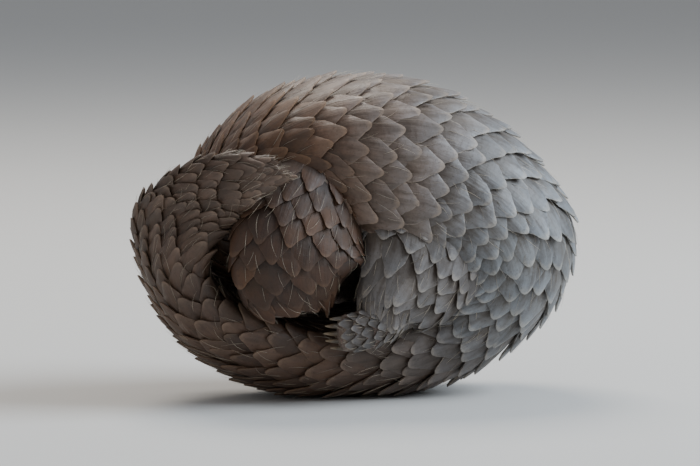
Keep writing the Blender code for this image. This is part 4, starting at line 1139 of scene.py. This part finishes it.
def fine_strands(stretches):
    """Hair strewn over both sides of each form between two stations and two turns, clear of the eyes."""
    for form, first, last, near, far, count, length in stretches:
        t = draw.uniform(first, last, count)
        turn = np.radians(draw.uniform(near, far, count)) * draw.choice([LEFT, RIGHT], count)
        for side in (LEFT, RIGHT) if form is BODY else ():
            away = form.point(t, turn) - spot(BODY, EYE_AT, side)[0]
            clear = np.linalg.norm(away, axis=1) > CLEAR_OF_EYE
            t, turn = t[clear], turn[clear]
        long = length * MM * draw.uniform(*FINE_SPREAD, len(t))
        yield form, t, turn, long, (np.full(len(t), FINE_ROOT), long * draw.uniform(*FINE_RISE, len(t)))


for piece, strew, stretches in FINE_HAIR:
    forms = [stretch[0] for stretch in stretches]
    hair_piece(piece, fine_strands(stretches), forms, FINE_RADIUS, math.radians(strew))

# The claws: long and curved on the forefeet for digging, short on the hind feet. Each is solid horn that
# grows from a blunt toe, with a ridge down its back, fine lengthwise lines, a dark root and a worn tip.
CLAW_CURVE = math.radians(42)
CLAW_TAPER, CLAW_TAPER_POWER = 0.86, 1.4
CLAW_CREST, CLAW_SIDE, CLAW_GROOVE, CLAW_GROOVE_WIDTH = 1.15, 0.80, 0.35, 0.5
CLAW_RINGS, CLAW_ROUND = 22, 16
CLAW_END, CLAW_CLOSE = 0.93, 0.98
CLAW_RIDGE, CLAW_RING, CLAW_RELIEF = 0.55 * MM, 2.6 * MM, 0.20 * MM
CLAW_RIM_SHARE, CLAW_PATCH = 0.30, 6 * MM
CLAW_WORN_SHARE, CLAW_SOIL_SHARE, CLAW_DUST_SHARE, CLAW_ROUGH = 0.75, 0.65, 0.45, (0.25, 0.32)
CLAW_DARK = (0.050, 0.036, 0.025, 1)
CLAW_HORN = (0.200, 0.142, 0.086, 1)
CLAW_TIP = (0.420, 0.335, 0.225, 1)

claw_horn, tree, shader = finish_of("claw_horn")
place = place_on(tree)
lie = parts_of(tree, "lie")[0]
share, _, down, _ = parts_of(tree, "share")
growth = use(tree, GROWTH, {"Lie": lie, "Ridge Width": CLAW_RIDGE, "Ring Width": CLAW_RING})
worn = use(tree, WORN, {"Share": share, "Place": place, "Rim": CLAW_RIM_SHARE})
grime = use(tree, GRIME, {"Place": place, "Patch Size": CLAW_PATCH})
colour = layered(tree, mixed(tree, growth["Streaks"], CLAW_DARK, CLAW_HORN), (
    (times(tree, worn["Tip"], CLAW_WORN_SHARE), CLAW_TIP),
    (times(tree, worn["Root"], CLAW_SOIL_SHARE), HORN_SOIL),
    (times(tree, grime["Patches"], CLAW_DUST_SHARE), HORN_DUST),
))
roughness = times(tree, grime["Patches"], *CLAW_ROUGH)
relief = bumped(tree, growth["Relief"], CLAW_RELIEF)
fill(tree, shader, {"Base Color": colour, "Roughness": roughness, "Normal": relief})

for name, (kind, side, leg, paw, claws) in LIMBS.items():
    parts = []
    for share, length, radius in claws:
        root, ahead, out = claw_root(paw, side, share)
        bend = length * MM / CLAW_CURVE
        down = np.linspace(0, 1, CLAW_RINGS)[:, None]
        around = np.linspace(0, 2 * math.pi, CLAW_ROUND, endpoint=False)[None, :]
        turned = CLAW_CURVE * down
        c, s = np.cos(turned)[..., None], np.sin(turned)[..., None]
        face, across = out * c + ahead * s, np.cross(ahead, out)
        taper = 1 - CLAW_TAPER * down ** CLAW_TAPER_POWER
        close = np.sqrt(1 - np.clip((down - CLAW_END) / (1 - CLAW_END), 0, CLAW_CLOSE) ** 2)
        thick = radius * MM * taper * close
        high, groove = np.cos(around), 1 - CLAW_GROOVE * bump(np.sin(around), CLAW_GROOVE_WIDTH)
        high = thick * np.where(high > 0, CLAW_CREST * high, high * groove)
        wide = thick * CLAW_SIDE * np.sin(around)
        middle = root + ahead * bend * s - out * bend * (1 - c)
        points = middle + face * high[..., None] + across * wide[..., None]
        own = np.broadcast_to(draw.random(), wide.shape)
        down = np.broadcast_to(down, wide.shape)
        beside = np.broadcast_to(around, wide.shape) * radius * MM
        notes = {
            "lie": np.stack([beside, down * length * MM, own], -1),
            "share": np.stack([np.zeros_like(down), down, own], -1),
        }
        parts.append(piece_from_grid("claw", points, notes))
    piece = join(parts, "claws_" + name)
    piece.data.shade_smooth()
    piece.data.materials.clear()
    piece.data.materials.append(claw_horn)
    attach(piece, "root")

# The eyes: small dark wet balls sunk between the lids, with a slight bulge over a brown iris that shows
# only as a thin ring round the wide pupil.
EYE_BULGE, EYE_BULGE_TURN = 0.06, math.radians(38)
EYE_SEGMENTS, EYE_RINGS, EYE_ROOM = 40, 24, 0.05 * MM
PUPIL_EDGE, IRIS_EDGE = np.radians((15.3, 18.7)), np.radians((28.5, 34.5))
PUPIL_BLACK = (0.002, 0.002, 0.002, 1)
IRIS_DARK, IRIS_BROWN = (0.030, 0.014, 0.006, 1), (0.095, 0.048, 0.020, 1)
EYE_RIM = (0.020, 0.012, 0.009, 1)
FIBRE_SIZE, FIBRE_ROUGH = 0.35 * MM, (0.06, 0.04)
TEARS, TEARS_ROUGH = 0.6, 0.03

wet_eye, tree, shader = finish_of("wet_eye")
away = parts_of(tree, "gaze")[1]
fibres = noise(tree, place_on(tree), 1 / FIBRE_SIZE, 3)
iris = mixed(tree, fibres, IRIS_DARK, IRIS_BROWN)
colour = mixed(tree, between(tree, away, *PUPIL_EDGE), PUPIL_BLACK, iris)
colour = mixed(tree, between(tree, away, *IRIS_EDGE), colour, EYE_RIM)
wet = {"Coat Weight": TEARS, "Coat Roughness": TEARS_ROUGH}
fill(tree, shader, {"Base Color": colour, "Roughness": times(tree, fibres, *FIBRE_ROUGH), **wet})

for word, side in (("left", LEFT), ("right", RIGHT)):
    here, out, _, _ = spot(BODY, EYE_AT, side)
    ball = {"segments": EYE_SEGMENTS, "ring_count": EYE_RINGS, "radius": EYE_RADIUS - EYE_ROOM}
    bpy.ops.mesh.primitive_uv_sphere_add(**ball)
    eye = bpy.context.object
    eye.name = eye.data.name = "eyeball_" + word
    points = points_of(eye)
    tip = unit(np.cross(out, SIDE))
    axes = np.stack([np.cross(tip, out), tip, out])
    away = np.arccos(np.clip(unit(points)[:, 2], -1, 1))
    points = points * (1 + EYE_BULGE * np.clip(1 - (away / EYE_BULGE_TURN) ** 2, 0, 1))[:, None]
    eye.data.vertices.foreach_set("co", (here - out * EYE_SINK + points @ axes).ravel())
    keep_notes(eye.data, {"gaze": np.stack([away, np.zeros_like(away), np.zeros_like(away)], -1)})
    bpy.ops.object.mode_set(mode="EDIT")
    bpy.ops.mesh.select_all(action="SELECT")
    bpy.ops.mesh.normals_make_consistent(inside=False)
    bpy.ops.object.mode_set(mode="OBJECT")
    eye.data.shade_smooth()
    eye.select_set(False)
    eye.data.materials.append(wet_eye)
    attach(eye, "root")
    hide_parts("eye_" + word)

# The floor: a plain pale sheet under the animal, of painted board. It is laid at the height of the flats
# that the tail rests on, and isn't part of the animal.
FLOOR_HALF = 30.0
FLOOR_PALE, FLOOR_ROUGH = (0.60, 0.59, 0.57, 1), 0.8
bpy.ops.mesh.primitive_plane_add(size=2 * FLOOR_HALF, location=(0, 0, 0))
floor = bpy.context.object
floor.name = "floor"
finish, tree, shader = finish_of("pale_floor")
fill(tree, shader, {"Base Color": FLOOR_PALE, "Roughness": FLOOR_ROUGH})
floor.data.materials.append(finish)
floor.select_set(False)

# The light: soft daylight all round, and three broad lamps, the strongest one high on the right.
# Each lamp is given by its name, place, aim, the size of its sheet, power in watts and colour.
SKY, SKY_STRENGTH = (0.79, 0.82, 0.87, 1), 0.42
LIGHTS = (
    ("key", (1.9, -0.8, 1.5), (0, 0, 0.1), 1.7, 108, (0.80, 0.90, 1.0)),
    ("left", (-1.7, -1.2, 0.9), (0, 0, 0.1), 1.3, 4, (1.0, 0.93, 0.84)),
    ("back", (0.0, 1.4, 2.1), (0, 0, 0.12), 1.2, 42, (1.0, 0.93, 0.84)),
)
world = bpy.data.worlds.new("studio")
world.use_nodes = True
fill(world.node_tree, world.node_tree.nodes["Background"], {"Color": SKY, "Strength": SKY_STRENGTH})
bpy.context.scene.world = world
for name, place, aim, size, watts, colour in LIGHTS:
    bpy.ops.object.light_add(type="AREA", location=place)
    lamp = bpy.context.object
    lamp.name = name
    lamp.data.size, lamp.data.energy, lamp.data.color = size, watts, colour
    lamp.rotation_mode = "QUATERNION"
    lamp.rotation_quaternion = (Vector(aim) - Vector(place)).to_track_quat("-Z", "Y")
    lamp.visible_camera = False
    lamp.select_set(False)

# The camera: it looks at the left flank from a little towards the head, 3.6 m away and 5 degrees above
# the middle of the ball, with a long lens that takes in the animal alone.
CAMERA_AWAY, CAMERA_TURN, CAMERA_RISE = 3.6, math.radians(-20), math.radians(5)
CAMERA_AIM = Vector((0.0, 0.0, 0.1))
VIEW_WIDTH = 0.433
SENSOR, FAR_CLIP = 36.0, 50
back_way = Vector((
    math.sin(CAMERA_TURN) * math.cos(CAMERA_RISE),
    -math.cos(CAMERA_TURN) * math.cos(CAMERA_RISE),
    math.sin(CAMERA_RISE),
))
bpy.ops.object.camera_add(location=CAMERA_AIM + back_way * CAMERA_AWAY)
camera = bpy.context.object
camera.rotation_mode = "QUATERNION"
camera.rotation_quaternion = (-back_way).to_track_quat("-Z", "Y")
camera.data.sensor_width = SENSOR
camera.data.lens = SENSOR * CAMERA_AWAY / VIEW_WIDTH
camera.data.clip_end = FAR_CLIP
camera.select_set(False)
bpy.context.scene.camera = camera
